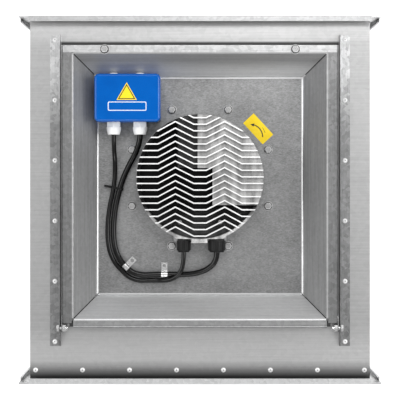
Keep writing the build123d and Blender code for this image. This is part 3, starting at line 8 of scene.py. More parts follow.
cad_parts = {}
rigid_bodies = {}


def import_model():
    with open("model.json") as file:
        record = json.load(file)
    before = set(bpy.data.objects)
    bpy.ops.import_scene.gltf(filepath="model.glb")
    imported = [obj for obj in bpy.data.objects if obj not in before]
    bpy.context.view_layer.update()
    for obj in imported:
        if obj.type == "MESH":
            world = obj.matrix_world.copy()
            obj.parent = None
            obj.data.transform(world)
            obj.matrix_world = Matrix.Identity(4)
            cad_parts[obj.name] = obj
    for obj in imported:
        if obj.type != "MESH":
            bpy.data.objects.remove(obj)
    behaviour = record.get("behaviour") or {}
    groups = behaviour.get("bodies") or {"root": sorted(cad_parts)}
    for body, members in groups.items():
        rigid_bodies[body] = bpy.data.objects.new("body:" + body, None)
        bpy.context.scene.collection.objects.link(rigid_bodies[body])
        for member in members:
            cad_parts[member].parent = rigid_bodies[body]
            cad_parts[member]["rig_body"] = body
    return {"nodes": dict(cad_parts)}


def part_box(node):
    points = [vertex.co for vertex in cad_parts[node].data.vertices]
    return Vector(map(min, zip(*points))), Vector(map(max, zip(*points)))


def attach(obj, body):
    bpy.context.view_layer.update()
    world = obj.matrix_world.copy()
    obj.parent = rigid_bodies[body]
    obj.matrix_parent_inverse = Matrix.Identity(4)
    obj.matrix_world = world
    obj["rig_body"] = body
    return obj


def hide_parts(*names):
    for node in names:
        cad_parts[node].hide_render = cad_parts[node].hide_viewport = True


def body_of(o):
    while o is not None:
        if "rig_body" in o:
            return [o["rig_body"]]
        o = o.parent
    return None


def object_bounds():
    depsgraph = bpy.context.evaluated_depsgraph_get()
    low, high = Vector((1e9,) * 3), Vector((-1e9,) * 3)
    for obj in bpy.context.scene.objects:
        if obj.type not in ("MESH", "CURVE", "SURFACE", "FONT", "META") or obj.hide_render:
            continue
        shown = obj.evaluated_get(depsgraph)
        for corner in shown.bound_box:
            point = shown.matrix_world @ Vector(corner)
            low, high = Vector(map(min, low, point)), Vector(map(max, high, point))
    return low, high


# Looks of a rectangular duct fan with a swing-out service panel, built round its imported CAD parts.
# Metres throughout: X across the duct, Y along the airflow, Z up.

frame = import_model()
cad_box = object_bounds()
nodes = frame["nodes"]
MM = 0.001

# ---------------------------------------------------------------- places read from the frame
cad_low, cad_high = cad_box
base_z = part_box("terminal_box_base")[0].z
casing_top_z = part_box("casing_top")[1].z
motor_low, motor_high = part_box("heat_sink_housing")
motor_y = (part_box("motor_support_plate")[0].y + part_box("motor_support_plate")[1].y) / 2
housing_r = (motor_high.x - motor_low.x) / 2
lid_low, lid_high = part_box("terminal_box_lid")
label_low, label_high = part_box("rotation_label")
inlet_lip_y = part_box("inlet_flange_rails")[0].y
panel_far_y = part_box("tray_panel")[1].y
rail_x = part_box("hinge_rail_right")[0].x
pivot_centre = (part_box("hinge_pivot_screws")[0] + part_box("hinge_pivot_screws")[1]) / 2


# ================================================================ materials
class Finish:
    """A procedural material on a Principled shader. Patterns are laid in the part's own metres."""

    def __init__(self, name, metallic=0.0, specular=0.5, coat=0.0):
        self.material = bpy.data.materials.new(name)
        self.material.use_nodes = True
        self.tree = self.material.node_tree
        self.shader = self.tree.nodes["Principled BSDF"]
        self.shader.inputs["Metallic"].default_value = metallic
        self.shader.inputs["Specular IOR Level"].default_value = specular
        self.shader.inputs["Coat Weight"].default_value = coat
        self.place = self.tree.nodes.new("ShaderNodeTexCoord").outputs["Object"]

    def node(self, kind, **inputs):
        made = self.tree.nodes.new(kind)
        for key, value in inputs.items():
            self.feed(made.inputs[key.replace("_", " ")], value)
        return made

    def feed(self, socket, value):
        if isinstance(value, bpy.types.NodeSocket):
            self.tree.links.new(value, socket)
        else:
            socket.default_value = value

    def stretched(self, scale):
        """The part's coordinates, scaled by a different amount along each axis."""
        return self.node("ShaderNodeMapping", Vector=self.place, Scale=scale).outputs["Vector"]

    def noise(self, scale, detail=3.0, rough=0.55):
        """Soft noise. The scale is patterns in a metre, for all axes or for each."""
        if isinstance(scale, tuple):
            place, size = self.stretched(scale), 1.0
        else:
            place, size = self.place, scale
        made = self.node("ShaderNodeTexNoise", Vector=place, Scale=size, Detail=detail, Roughness=rough)
        return made.outputs["Fac"]

    def cells(self, scale, jitter=1.0):
        """Flat cells, each of its own random grey, like zinc crystals."""
        made = self.node("ShaderNodeTexVoronoi", Vector=self.place, Scale=scale, Randomness=jitter)
        return self.node("ShaderNodeSeparateColor", Color=made.outputs["Color"]).outputs["Red"]

    def calc(self, operation, a, b):
        made = self.tree.nodes.new("ShaderNodeMath")
        made.operation = operation
        self.feed(made.inputs[0], a)
        self.feed(made.inputs[1], b)
        return made.outputs["Value"]

    def blend(self, layers):
        """The weighted mean of several patterns."""
        total = None
        for pattern, weight in layers:
            part = self.calc("MULTIPLY", pattern, weight)
            total = part if total is None else self.calc("ADD", total, part)
        return total

    def span(self, value, low, high, out_low, out_high):
        """A value that runs from low to high, mapped to another range and held at its ends."""
        made = self.tree.nodes.new("ShaderNodeMapRange")
        numbers = {"Value": value, "From Min": low, "From Max": high, "To Min": out_low, "To Max": out_high}
        for key, number in numbers.items():
            self.feed(made.inputs[key], number)
        return made.outputs["Result"]

    def ramp(self, value, dark, light, low=0.3, high=0.7):
        """A colour between two, by a pattern."""
        made = self.tree.nodes.new("ShaderNodeValToRGB")
        self.feed(made.inputs["Fac"], value)
        for stop, place, color in zip(made.color_ramp.elements, (low, high), (dark, light)):
            stop.position = place
            stop.color = (*color, 1.0)
        return made.outputs["Color"]

    def along(self, axis):
        """The coordinate along X, Y or Z."""
        return self.node("ShaderNodeSeparateXYZ", Vector=self.place).outputs[axis]

    def tint(self, factor, first, second):
        """The first colour where the factor is 0, the second where it is 1."""
        made = self.tree.nodes.new("ShaderNodeMix")
        made.data_type = "RGBA"
        self.feed(made.inputs["Factor"], factor)
        for socket, color in ((made.inputs[6], first), (made.inputs[7], second)):
            self.feed(socket, color if isinstance(color, bpy.types.NodeSocket) else (*color, 1.0))
        return made.outputs[2]

    def radius(self, centre_y):
        """The distance from the upright axis at X 0 and the given Y."""
        from_centre = self.calc("SUBTRACT", self.along("Y"), centre_y)
        level = self.node("ShaderNodeCombineXYZ", X=self.along("X"), Y=from_centre)
        made = self.tree.nodes.new("ShaderNodeVectorMath")
        made.operation = "LENGTH"
        self.feed(made.inputs[0], level.outputs["Vector"])
        return made.outputs["Value"]

    def color(self, value):
        self.feed(self.shader.inputs["Base Color"], value)

    def roughness(self, pattern, low, high):
        self.feed(self.shader.inputs["Roughness"], self.span(pattern, 0.3, 0.7, low, high))

    def bump(self, pattern, depth, strength=0.5):
        made = self.node("ShaderNodeBump", Height=pattern, Distance=depth, Strength=strength)
        self.feed(self.shader.inputs["Normal"], made.outputs["Normal"])


def grey(level, warm=0.0):
    """A near-neutral colour; warm above zero is yellower, below zero bluer."""
    return (level * (1 + warm), level, level * (1 - warm))


ZINC_CAST = -0.004              # zinc is a touch blue


def galvanised(name, tone, grain=(7.0, 420.0, 420.0), rough=(0.34, 0.46), spread=0.22, spangle=0.34,
               metallic=0.92, fade=None):
    """Zinc-coated sheet: crystals, rolling streaks along the grain's small axis, and cloudy patches.

    A fade is (axis, from, to, tone): the sheet turns to the second tone along that axis.
    """
    made = Finish(name, metallic=metallic)
    streaks = made.noise(grain, detail=4.0, rough=0.7)
    crystals = made.cells(150.0)
    clouds = made.noise(9.0, detail=3.0)
    speckle = made.noise(900.0, detail=2.0)
    mix = made.blend((
        (streaks, 0.74 - spangle), (crystals, spangle * 0.55), (clouds, 0.26), (speckle, spangle * 0.45),
    ))

    def shade(level):
        dark, light = level * (1 - spread), level * (1 + spread)
        return made.ramp(mix, grey(dark, ZINC_CAST), grey(light, ZINC_CAST))

    sheet = shade(tone)
    if fade:
        axis, start, stop, far_tone = fade
        sheet = made.tint(made.span(made.along(axis), start, stop, 0.0, 1.0), sheet, shade(far_tone))
    made.color(sheet)
    made.roughness(mix, rough[1], rough[0])
    made.bump(made.blend(((streaks, 0.6), (crystals, 0.25), (speckle, 0.15))), 0.12 * MM, 0.35)
    return made


NEAR_STRIP_Y = (-260 * MM, -310 * MM)       # the near end's light strip begins and is full
FAR_STRIP = 20 * MM                         # from the panel to where the far strip is full
FOOT_SHADOW = (12 * MM, 45 * MM)              # from the flange's lip: the painted shadow band is full, and ends
GAP_SHADOW = (1 * MM, 5 * MM, 9 * MM)        # from the panel: the painted shadow line is full, fades, and ends


def casing_top_finish():
    """The top sheet, with painted shadows: a dark band at the inlet flange, a dark line behind the panel."""
    made = Finish("casing_top_sheet", metallic=0.92)
    streaks = made.noise((5.0, 300.0, 300.0), detail=4.0, rough=0.7)
    crystals = made.cells(120.0)
    clouds = made.noise(5.0, detail=4.0)
    mix = made.blend(((streaks, 0.52), (crystals, 0.1), (clouds, 0.38)))
    along = made.along("Y")
    # The strips at the two ends are lighter than the sides.
    sides = made.ramp(mix, grey(0.34), grey(0.47))
    ends = made.ramp(mix, grey(0.42), grey(0.58))
    near_strip = made.span(along, NEAR_STRIP_Y[0], NEAR_STRIP_Y[1], 0.0, 1.0)
    far_strip = made.span(along, panel_far_y, panel_far_y + FAR_STRIP, 0.0, 0.6)
    sheet = made.tint(made.calc("MAXIMUM", near_strip, far_strip), sides, ends)
    # Painted shadows: the dark band at the flange's foot, and the dark line behind the panel between the two
    # rails.
    foot = made.span(along, inlet_lip_y + FOOT_SHADOW[0], inlet_lip_y + FOOT_SHADOW[1], 1.0, 0.0)
    line_start = made.span(along, panel_far_y, panel_far_y + GAP_SHADOW[0], 0.0, 1.0)
    line_stop = made.span(along, panel_far_y + GAP_SHADOW[1], panel_far_y + GAP_SHADOW[2], 1.0, 0.0)
    off_centre = made.calc("ABSOLUTE", made.along("X"), 0.0)
    between_rails = made.span(off_centre, rail_x - MM, rail_x, 1.0, 0.0)
    line = made.calc("MULTIPLY", made.calc("MULTIPLY", line_start, line_stop), between_rails)
    made.color(made.tint(made.calc("MAXIMUM", foot, line), sheet, grey(0.05)))
    made.roughness(mix, 0.46, 0.36)
    made.bump(made.blend(((streaks, 0.6), (crystals, 0.4))), 0.1 * MM, 0.3)
    return made


GAP_SHADE_DEPTH = (27 * MM, 2 * MM)               # under the crests: the painted shade in the gaps is full, and gone
CREST_HIGHLIGHT_DEPTH = (0.6 * MM, 0.1 * MM)          # under the crests: their painted highlight begins and is full
RIM_HIGHLIGHT_BAND = (7 * MM, 5 * MM)                 # in from the housing's rim: the rim's painted highlight begins and is full
NEAR_RIM_HIGHLIGHT = (95 * MM, 60 * MM)               # before the motor's axis: the rim's painted highlight is full, and ends
NEAR_GAP_LIGHT = (60 * MM, 115 * MM)             # before the motor's axis: painted light in the gaps grows from here to here


def cast_aluminium():
    """Die-cast housing: a painted highlight on the fins' crests and the near rim, painted shade deep between
    the fins.
    """
    made = Finish("cast_aluminium", metallic=0.85)
    skin = made.noise(700.0, detail=4.0, rough=0.7)
    flow = made.noise((60.0, 14.0, 14.0), detail=3.0)
    mix = made.blend(((skin, 0.35), (flow, 0.65)))
    body = made.ramp(mix, grey(0.42, 0.005), grey(0.92, 0.005), 0.4, 0.6)
    height, along = made.along("Z"), made.along("Y")
    # Painted shade deep between the fins, painted light on the near rim and the near gaps, a painted highlight
    # on the crests.
    rise = made.span(height, motor_high.z - GAP_SHADE_DEPTH[0], motor_high.z - GAP_SHADE_DEPTH[1], 0.0, 1.0)
    outside = made.span(made.radius(motor_y), housing_r - RIM_HIGHLIGHT_BAND[0], housing_r - RIM_HIGHLIGHT_BAND[1], 0.0, 1.0)
    near_rim = made.span(along, motor_y - NEAR_RIM_HIGHLIGHT[0], motor_y - NEAR_RIM_HIGHLIGHT[1], 1.0, 0.0)
    near_gaps = made.span(along, motor_y - NEAR_GAP_LIGHT[0], motor_y - NEAR_GAP_LIGHT[1], 0.0, 0.14)
    lit = made.calc("MAXIMUM", made.calc("POWER", rise, 2.0), made.calc("MULTIPLY", outside, near_rim))
    shaded = made.tint(made.calc("MAXIMUM", lit, near_gaps), grey(0.012), body)
    crest = made.span(height, motor_high.z - CREST_HIGHLIGHT_DEPTH[0], motor_high.z - CREST_HIGHLIGHT_DEPTH[1], 0.0, 1.0)
    made.color(made.tint(crest, shaded, grey(0.95)))
    made.roughness(mix, 0.34, 0.5)
    made.bump(skin, 0.15 * MM, 0.45)
    return made


def plain_metal(name, dark, light, rough, scale=240.0, depth=0.06, metallic=1.0, warm=0.0):
    """Turned, plated or ground metal with fine marks."""
    made = Finish(name, metallic=metallic)
    marks = made.noise(scale, detail=4.0, rough=0.65)
    stain = made.noise(scale / 9, detail=2.0)
    mix = made.blend(((marks, 0.55), (stain, 0.45)))
    made.color(made.ramp(mix, grey(dark, warm), grey(light, warm)))
    made.roughness(mix, rough[1], rough[0])
    made.bump(marks, depth * MM, 0.4)
    return made


def moulded(name, dark, light, rough, grain=1100.0, depth=0.06, coat=0.0, specular=0.4):
    """Moulded plastic with a spark-eroded grain and faint flow marks."""
    made = Finish(name, metallic=0.0, specular=specular, coat=coat)
    skin = made.noise(grain, detail=3.0)
    flow = made.noise(22.0, detail=2.0)
    mix = made.blend(((skin, 0.45), (flow, 0.55)))
    made.color(made.ramp(mix, dark, light))
    made.roughness(mix, rough[0], rough[1])
    made.bump(skin, depth * MM, 0.35)
    return made


LID_EDGE = (0.5 * MM, 0.1 * MM)             # under the lid's top: the edges' polish is full, and ends


def box_plastic():
    """Glossy blue plastic: an even top, with the polish showing on its rounded edges."""
    made = moulded("blue_plastic", (0.0, 0.082, 0.37), (0.0, 0.11, 0.46), (0.2, 0.3))
    polish = made.span(made.along("Z"), lid_high.z - LID_EDGE[0], lid_high.z - LID_EDGE[1], 0.55, 0.08)
    made.feed(made.shader.inputs["Specular IOR Level"], polish)
    return made


def copper_wire():
    """Enamelled winding wire, wound round the teeth in fine turns."""
    made = Finish("enamelled_copper", metallic=0.7, coat=0.4)
    turns = made.tree.nodes.new("ShaderNodeTexWave")
    turns.bands_direction = "Z"
    made.feed(turns.inputs["Vector"], made.place)
    turns.inputs["Scale"].default_value = 300.0
    turns.inputs["Distortion"].default_value = 2.0
    wire = turns.outputs["Fac"]
    made.color(made.ramp(wire, (0.22, 0.05, 0.015), (0.72, 0.28, 0.12)))
    made.roughness(made.noise(300.0), 0.25, 0.4)
    made.bump(wire, 0.4 * MM, 0.6)
    return made


def laminations():
    """Stacked electrical steel, with its sheets' edges showing."""
    made = Finish("lamination_stack", metallic=0.85)
    sheets = made.noise((20.0, 20.0, 1800.0), detail=1.0)
    stain = made.noise(60.0)
    mix = made.blend(((sheets, 0.6), (stain, 0.4)))
    made.color(made.ramp(mix, (0.14, 0.14, 0.16), (0.33, 0.33, 0.36)))
    made.roughness(mix, 0.4, 0.6)
    made.bump(sheets, 0.2 * MM, 0.5)
    return made


def label_film(name, dark, light):
    """Printed vinyl film: an even colour with a faint orange-peel surface."""
    made = Finish(name, metallic=0.0, specular=0.4, coat=0.15)
    peel = made.noise(600.0, detail=2.0)
    fade = made.noise(35.0, detail=2.0)
    mix = made.blend(((peel, 0.3), (fade, 0.7)))
    made.color(made.ramp(mix, dark, light))
    made.roughness(mix, 0.32, 0.45)
    made.bump(peel, 0.03 * MM, 0.3)
    return made


def cable_sheath():
    """Black flexible sheath, glossy, with the faint lay of the cores under it."""
    made = Finish("cable_sheath", metallic=0.0, specular=0.3)
    lay = made.noise(160.0, detail=3.0)
    skin = made.noise(1400.0, detail=2.0)
    mix = made.blend(((lay, 0.6), (skin, 0.4)))
    made.color(made.ramp(mix, grey(0.002), grey(0.008)))
    made.roughness(mix, 0.1, 0.18)
    made.bump(mix, 0.05 * MM, 0.2)
    return made


finishes = {
    "galvanised": galvanised("galvanised_sheet", 0.56),
    "zinc_hardware": plain_metal("zinc_plated", 0.62, 0.88, (0.14, 0.3)),
    "cast_aluminium": cast_aluminium(),
    "impeller_sheet": galvanised("impeller_sheet", 0.52, grain=(160.0, 160.0, 160.0), spangle=0.2),
    "ground_steel": plain_metal("ground_steel", 0.5, 0.66, (0.12, 0.24), scale=500.0),
    "lamination": laminations(),
    "magnet": plain_metal("nickel_magnet", 0.3, 0.42, (0.25, 0.4), scale=300.0),
    "winding": copper_wire(),
    "circuit_board": moulded(
        "circuit_board", (0.006, 0.06, 0.03), (0.015, 0.12, 0.05), (0.3, 0.45), grain=400.0,
    ),
    "blue_plastic": box_plastic(),
    "white_plastic": moulded("white_plastic", (0.86, 0.86, 0.85), (0.94, 0.94, 0.93), (0.3, 0.42)),
    "black_plastic": moulded("black_plastic", grey(0.003), grey(0.014), (0.3, 0.44), specular=0.2),
    "cable_sheath": cable_sheath(),
    "seal": moulded("rubber_seal", grey(0.01), grey(0.03), (0.65, 0.85), grain=500.0, depth=0.3),
    "yellow_label": label_film("yellow_film", (0.86, 0.6, 0.0), (0.98, 0.72, 0.01)),
}
# The hinge rails' sheet is darkened as painted shade, with painted light towards the far end.
rail_finish = galvanised(
    "hinge_rail_sheet", 0.25, grain=(300.0, 12.0, 60.0), spread=0.4, spangle=0.4,
    fade=("Y", 140 * MM, 270 * MM, 0.5),
)
node_finishes = {
    "inlet_flange_rails": galvanised("inlet_rail_sheet", 0.66),
    "outlet_flange_rails": galvanised("outlet_rail_sheet", 0.44),
    "casing_top": casing_top_finish(),
    "hinge_rail_left": rail_finish,
    "hinge_rail_right": rail_finish,
}
slot_of = {}
for name, obj in nodes.items():
    for held in obj.material_slots:
        slot_of[name] = held.material.name.split(".")[0]
        held.material = node_finishes.get(name, finishes[slot_of[name]]).material


# ================================================================ mesh helpers
def mesh_object(name, bm, materials, sharp=30.0):
    """Turn a bmesh into an object, smooth apart from its sharp edges."""
    bmesh.ops.remove_doubles(bm, verts=bm.verts, dist=1e-6)
    bmesh.ops.recalc_face_normals(bm, faces=bm.faces)
    for face in bm.faces:
        face.smooth = True
    for edge in bm.edges:
        edge.smooth = len(edge.link_faces) == 2 and edge.calc_face_angle(pi) < radians(sharp)
    mesh = bpy.data.meshes.new(name)
    bm.to_mesh(mesh)
    bm.free()
    for material in materials:
        mesh.materials.append(material.material)
    made = bpy.data.objects.new(name, mesh)
    bpy.context.scene.collection.objects.link(made)
    return made


def settle(piece, body, slot, *replaced):
    """Attach a new piece to the body it rides on, and hide the imported parts it stands for. The slot is not
    used.
    """
    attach(piece, body)
    if replaced:
        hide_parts(*replaced)


def facet_copy(name, looks, choose):
    """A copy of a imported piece, whose faces take one of several finishes by how they lie."""
    source = nodes[name]
    mesh = source.data.copy()
    mesh.materials.clear()
    for look in looks:
        mesh.materials.append(look.material)
    for face in mesh.polygons:
        face.material_index = choose(source.matrix_world @ face.center, face.normal)
    made = bpy.data.objects.new(name + "_faced", mesh)
    made.matrix_world = source.matrix_world
    bpy.context.scene.collection.objects.link(made)
    settle(made, body_of(source)[0], slot_of[name], name)


def rounded(corners, radii, steps=5):
    """An open profile with its inner corners rounded."""
    points = [Vector(corners[0])]
    for before, corner, after, radius in zip(corners, corners[1:], corners[2:], radii):
        corner = Vector(corner)
        back = (Vector(before) - corner).normalized()
        ahead = (Vector(after) - corner).normalized()
        half_turn = (pi - back.angle(ahead)) / 2
        reach = radius * tan(half_turn)
        middle = corner + (back + ahead).normalized() * (radius / cos(half_turn))
        start = corner + back * reach - middle
        turn = start.angle_signed(corner + ahead * reach - middle)
        for step in range(steps + 1):
            angle = -turn * step / steps
            across = start.x * cos(angle) - start.y * sin(angle)
            up = start.x * sin(angle) + start.y * cos(angle)
            points.append(middle + Vector((across, up)))
    points.append(Vector(corners[-1]))
    return points


SHARPEST_MITRE = 0.3            # the cosine at which a sharp corner's offset is cut short


def offset(points, distance):
    """An open profile moved sideways, to its right for a positive distance."""
    moved = []
    for i, point in enumerate(points):
        before = (point - points[i - 1]).normalized() if i else None
        after = (points[i + 1] - point).normalized() if i + 1 < len(points) else None
        run_in, run_out = before or after, after or before
        mean = (run_in + run_out).normalized()
        side = Vector((mean.y, -mean.x))
        moved.append(point + side * distance / max(SHARPEST_MITRE, mean.dot(run_in)))
    return moved


def folded_strip(bm, profile, sheet, ends, to_world, finish_index, fold_indices, cap_index):
    """A folded sheet strip. The profile is (out, up), and ends(out, index) gives the strip's two ends there.

    Its bends take the two fold finishes, for the lower and the upper half of the profile.
    """
    middle = (profile[0].y + profile[-1].y) / 2
    section = list(enumerate(profile)) + list(reversed(list(enumerate(offset(profile, sheet)))))
    rows = []
    for index, point in section:
        low, high = ends(profile[index].x, index)
        rows.append([bm.verts.new(to_world(point.x, run, point.y)) for run in (low, high)])
    for i, (row, following) in enumerate(zip(rows, rows[1:] + rows[:1])):
        face = bm.faces.new((row[0], row[1], following[1], following[0]))
        on_top = i + 1 < len(profile)
        short = on_top and (profile[i + 1] - profile[i]).length < FOLD_STEP
        face.material_index = fold_indices[profile[i].y > middle] if short else finish_index
    for end in (0, 1):
        half = len(profile)
        for i in range(half - 1):
            twin = len(rows) - 1 - i
            face = bm.faces.new((rows[i][end], rows[i + 1][end], rows[twin - 1][end], rows[twin][end]))
            face.material_index = cap_index


def flat_plate(bm, loops, thickness, place, material_index=0):
    """A flat plate with holes: the first loop is its outline. It is centred on its own plane."""
    curve = bpy.data.curves.new("plate_outline", "CURVE")
    curve.dimensions = "2D"
    curve.fill_mode = "BOTH"
    curve.extrude = thickness / 2
    for loop in loops:
        spline = curve.splines.new("POLY")
        spline.points.add(len(loop) - 1)
        for point, (x, y) in zip(spline.points, loop):
            point.co = (x, y, 0, 1)
        spline.use_cyclic_u = True
    holder = bpy.data.objects.new("plate_outline", curve)
    mesh = bpy.data.meshes.new_from_object(holder)
    mesh.transform(place)
    first = len(bm.faces)
    bm.from_mesh(mesh)
    bm.faces.ensure_lookup_table()
    for face in bm.faces[first:]:
        face.material_index = material_index
    bpy.data.objects.remove(holder)
    bpy.data.curves.remove(curve)
    bpy.data.meshes.remove(mesh)


def spoke_end(centre, radius, angle):
    """The point at a radius and an angle in degrees from a centre."""
    return (centre[0] + radius * cos(radians(angle)), centre[1] + radius * sin(radians(angle)))


def arc_points(centre, radius, start, stop, count):
    """Points on an arc, with its angles in degrees."""
    return [spoke_end(centre, radius, start + (stop - start) * i / (count - 1)) for i in range(count)]


def rounded_rectangle(width, height, radius, centre=(0.0, 0.0), count=6):
    """The outline of a rectangle with round corners, counter-clockwise."""
    points = []
    for turn, (sx, sy) in enumerate(((1, 1), (-1, 1), (-1, -1), (1, -1))):
        corner = (centre[0] + sx * (width / 2 - radius), centre[1] + sy * (height / 2 - radius))
        points += arc_points(corner, radius, 90 * turn, 90 * turn + 90, count)
    return points


# ================================================================ bolts, washers, screws and rivets
# The plating comes in lit and shaded copies: painted highlights on chamfers, rims and rivet domes, painted
# shade on flanks and in holes, and a face in painted shade on the washers.
plated_face = plain_metal("plated_face", 0.22, 0.8, (0.2, 0.36), scale=520.0)
plated_highlight = plain_metal("plated_highlight", 0.62, 0.95, (0.3, 0.4), scale=420.0, metallic=0.2)
plated_shade = plain_metal("plated_shade", 0.02, 0.09, (0.4, 0.6), scale=500.0)
plated_shaded_face = plain_metal("plated_shaded_face", 0.06, 0.26, (0.3, 0.46), scale=520.0)
PLATED = (plated_face, plated_highlight, plated_shade, plated_shaded_face)
FACE, EDGE, SHADE, SHADED_FACE = range(len(PLATED))

# How far up a face's normal points, from 0 to 1.
FLAT_TOP = 0.95
SLOPED = 0.3
UPRIGHT = 0.05

RIVET_HEAD = 1.6 * MM           # from a rivet's seat to the top of its head
HOLE_FLOOR = 0.8 * MM           # above the seat: flat faces under this are the hole's floor
HOLE_FOOT = 0.6 * MM            # above the seat: upright faces over this are the hole's wall


def bolt_look(spot, normal):
    """A plated crown with a painted highlight on its chamfer, over flanks in painted shade."""
    if normal.z > FLAT_TOP:
        return FACE
    return EDGE if normal.z > SLOPED else SHADE


def washer_look(spot, normal):
    """A face in painted shade, with a painted highlight on its rim."""
    return EDGE if SLOPED < normal.z < FLAT_TOP else SHADED_FACE


def rivet_look(seat_z):
    """A dome in painted highlight, with the broken mandrel's hole in painted shade."""
    def look(spot, normal):
        floor = spot.z < seat_z + HOLE_FLOOR and normal.z > FLAT_TOP
        wall = abs(normal.z) < UPRIGHT and spot.z > seat_z + HOLE_FOOT
        return SHADE if floor or wall else EDGE
    return look


for name in ("motor_bolts", "panel_bolts", "clip_screws"):
    facet_copy(name, PLATED, bolt_look)
facet_copy("m8_washers", PLATED, washer_look)
facet_copy("flange_rivets", PLATED, rivet_look(casing_top_z))
facet_copy("hinge_rail_rivets", PLATED, rivet_look(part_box("hinge_rail_rivets")[1].z - RIVET_HEAD))

# ================================================================ the tray of the service panel
# The sizes down to NEAR_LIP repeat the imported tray's. The base and the mouth are (across, along the airflow).
TRAY_SHEET = 1.5 * MM
TRAY_BASE = (441 * MM, 466 * MM)
TRAY_MOUTH = (520 * MM, 544 * MM)
TRAY_DEPTH = 89.5 * MM
TRAY_CENTRE_Y = 27.5 * MM
RIM_SIDE = 23.5 * MM
RIM_END = 18.5 * MM
RIM_LIP = 7 * MM
NEAR_LIP = 4.5 * MM             # the near rim's lip turns up, the others turn down
RIM_START = 3 * MM              # past the mouth, where a wall's strip ends and its rim begins
FOLD_R = 6 * MM
MOUTH_R = 3 * MM
LIP_R = 2 * MM
SEAM = 1.3 * MM                 # half of a corner seam, measured level
FOLD_STEP = 1.6 * MM            # faces shorter than this across the sheet are part of a fold
EAR_R = 8 * MM
EAR_REACH = 14 * MM             # from the side rims' near ends to the ears' feet
EAR_LAP = 1 * MM                # how far an ear runs into the lip behind it
RIM_FROM_PIVOT = 10 * MM        # along the airflow, to the side rims' near ends
PIVOT_R = 4.05 * MM
HOUSING_GAP = 3 * MM
GLAND_BLOCK_X = 54 * MM         # half of the gland block's width
BEAD_SPAN = (0.1, 0.97)         # the ends of a corner's dark bead, as shares of the wall's slope
BEAD_HALF_WIDTH = 2.5 * MM
BEAD_SKINS = (0.48 * MM, 1.28 * MM)     # its inner and outer skin, out from the corner
BEAD_DROP = 1.5 * MM
BEAD_TILT = -0.6                # how far down its skins face, for 1 along each level axis

QUARTERS = ((-1, -1), (-1, 1), (1, -1), (1, 1))
rim_z = base_z + TRAY_DEPTH
half_base = (TRAY_BASE[0] / 2, TRAY_BASE[1] / 2)
runs = ((TRAY_MOUTH[0] - TRAY_BASE[0]) / 2, (TRAY_MOUTH[1] - TRAY_BASE[1]) / 2)
mouth_near_y = TRAY_CENTRE_Y - TRAY_MOUTH[1] / 2
mouth_far_y = TRAY_CENTRE_Y + TRAY_MOUTH[1] / 2
rim_outer_x = TRAY_MOUTH[0] / 2 + RIM_SIDE
side_rim_near_y = pivot_centre.y + RIM_FROM_PIVOT
ear_foot_y = side_rim_near_y + EAR_REACH
fold_reach = FOLD_R * tan(atan2(TRAY_DEPTH, runs[0]) / 2)

# The tray is one folded sheet in lit and shaded copies of one finish: painted shade on the side walls, the side
# rims and the far wall's top, painted light on the near wall, the far wall's foot and the far rim.
tray_side = galvanised(
    "tray_side", 0.3, grain=(420.0, 6.0, 60.0), rough=(0.54, 0.66), spread=0.22, spangle=0.14,
    metallic=0.4,
)
tray_end = galvanised(
    "tray_end", 0.42, grain=(6.0, 420.0, 60.0), rough=(0.44, 0.56), spread=0.14, spangle=0.14,
    metallic=0.6, fade=("Y", 100 * MM, -100 * MM, 0.66),
)
tray_far_wall = galvanised(
    "tray_far_wall", 0.31, grain=(6.0, 420.0, 60.0), rough=(0.54, 0.66), spread=0.14, spangle=0.14,
    metallic=0.4, fade=("Z", base_z + 65 * MM, base_z + 25 * MM, 0.66),
)
tray_base_finish = galvanised(
    "tray_base", 0.265, grain=(220.0, 700.0, 60.0), rough=(0.36, 0.5), spread=0.55, spangle=0.12,
)
tray_rim_side = galvanised("tray_rim_side", 0.22, grain=(300.0, 12.0, 60.0), spread=0.36, spangle=0.3)
tray_rim_end = galvanised(
    "tray_rim_end", 0.34, grain=(12.0, 300.0, 60.0), spread=0.3, spangle=0.3,
    fade=("Y", 100 * MM, 200 * MM, 0.48),
)
EVEN_GRAIN = (60.0, 60.0, 60.0)
# Painted highlights along the bends at the base and at the side walls' mouths.
tray_fold_highlight = galvanised("tray_fold_highlight", 0.62, grain=EVEN_GRAIN, rough=(0.3, 0.4), spread=0.14, spangle=0.2)
tray_mouth_highlight = galvanised("tray_mouth_highlight", 0.4, grain=EVEN_GRAIN, rough=(0.4, 0.5), spread=0.14)
# Near-black painted shade in the seams, for the strips' cut ends and the corner beads.
seam_shade = plain_metal("seam_shade_edge", 0.012, 0.04, (0.5, 0.7), scale=300.0, metallic=0.4)
TRAY_FINISHES = (
    tray_base_finish, tray_side, tray_end, tray_far_wall, tray_rim_side, tray_rim_end, tray_fold_highlight,
    tray_mouth_highlight, seam_shade,
)
(
    BASE, SIDE_WALL, NEAR_WALL, FAR_WALL, SIDE_RIM, END_RIM, FOLD, SIDE_MOUTH, SEAM_SHADE,
) = range(len(TRAY_FINISHES))


def wall_ends(half_across, run, run_across):
    """Where a wall's strip ends: on the mitre with its neighbour, less the open seam."""
    def ends(out, _):
        reach = half_across + min(out, run) * run_across / run - SEAM
        return -reach, reach
    return ends


def fixed_ends(low, high):
    return lambda out, index: (low, high)


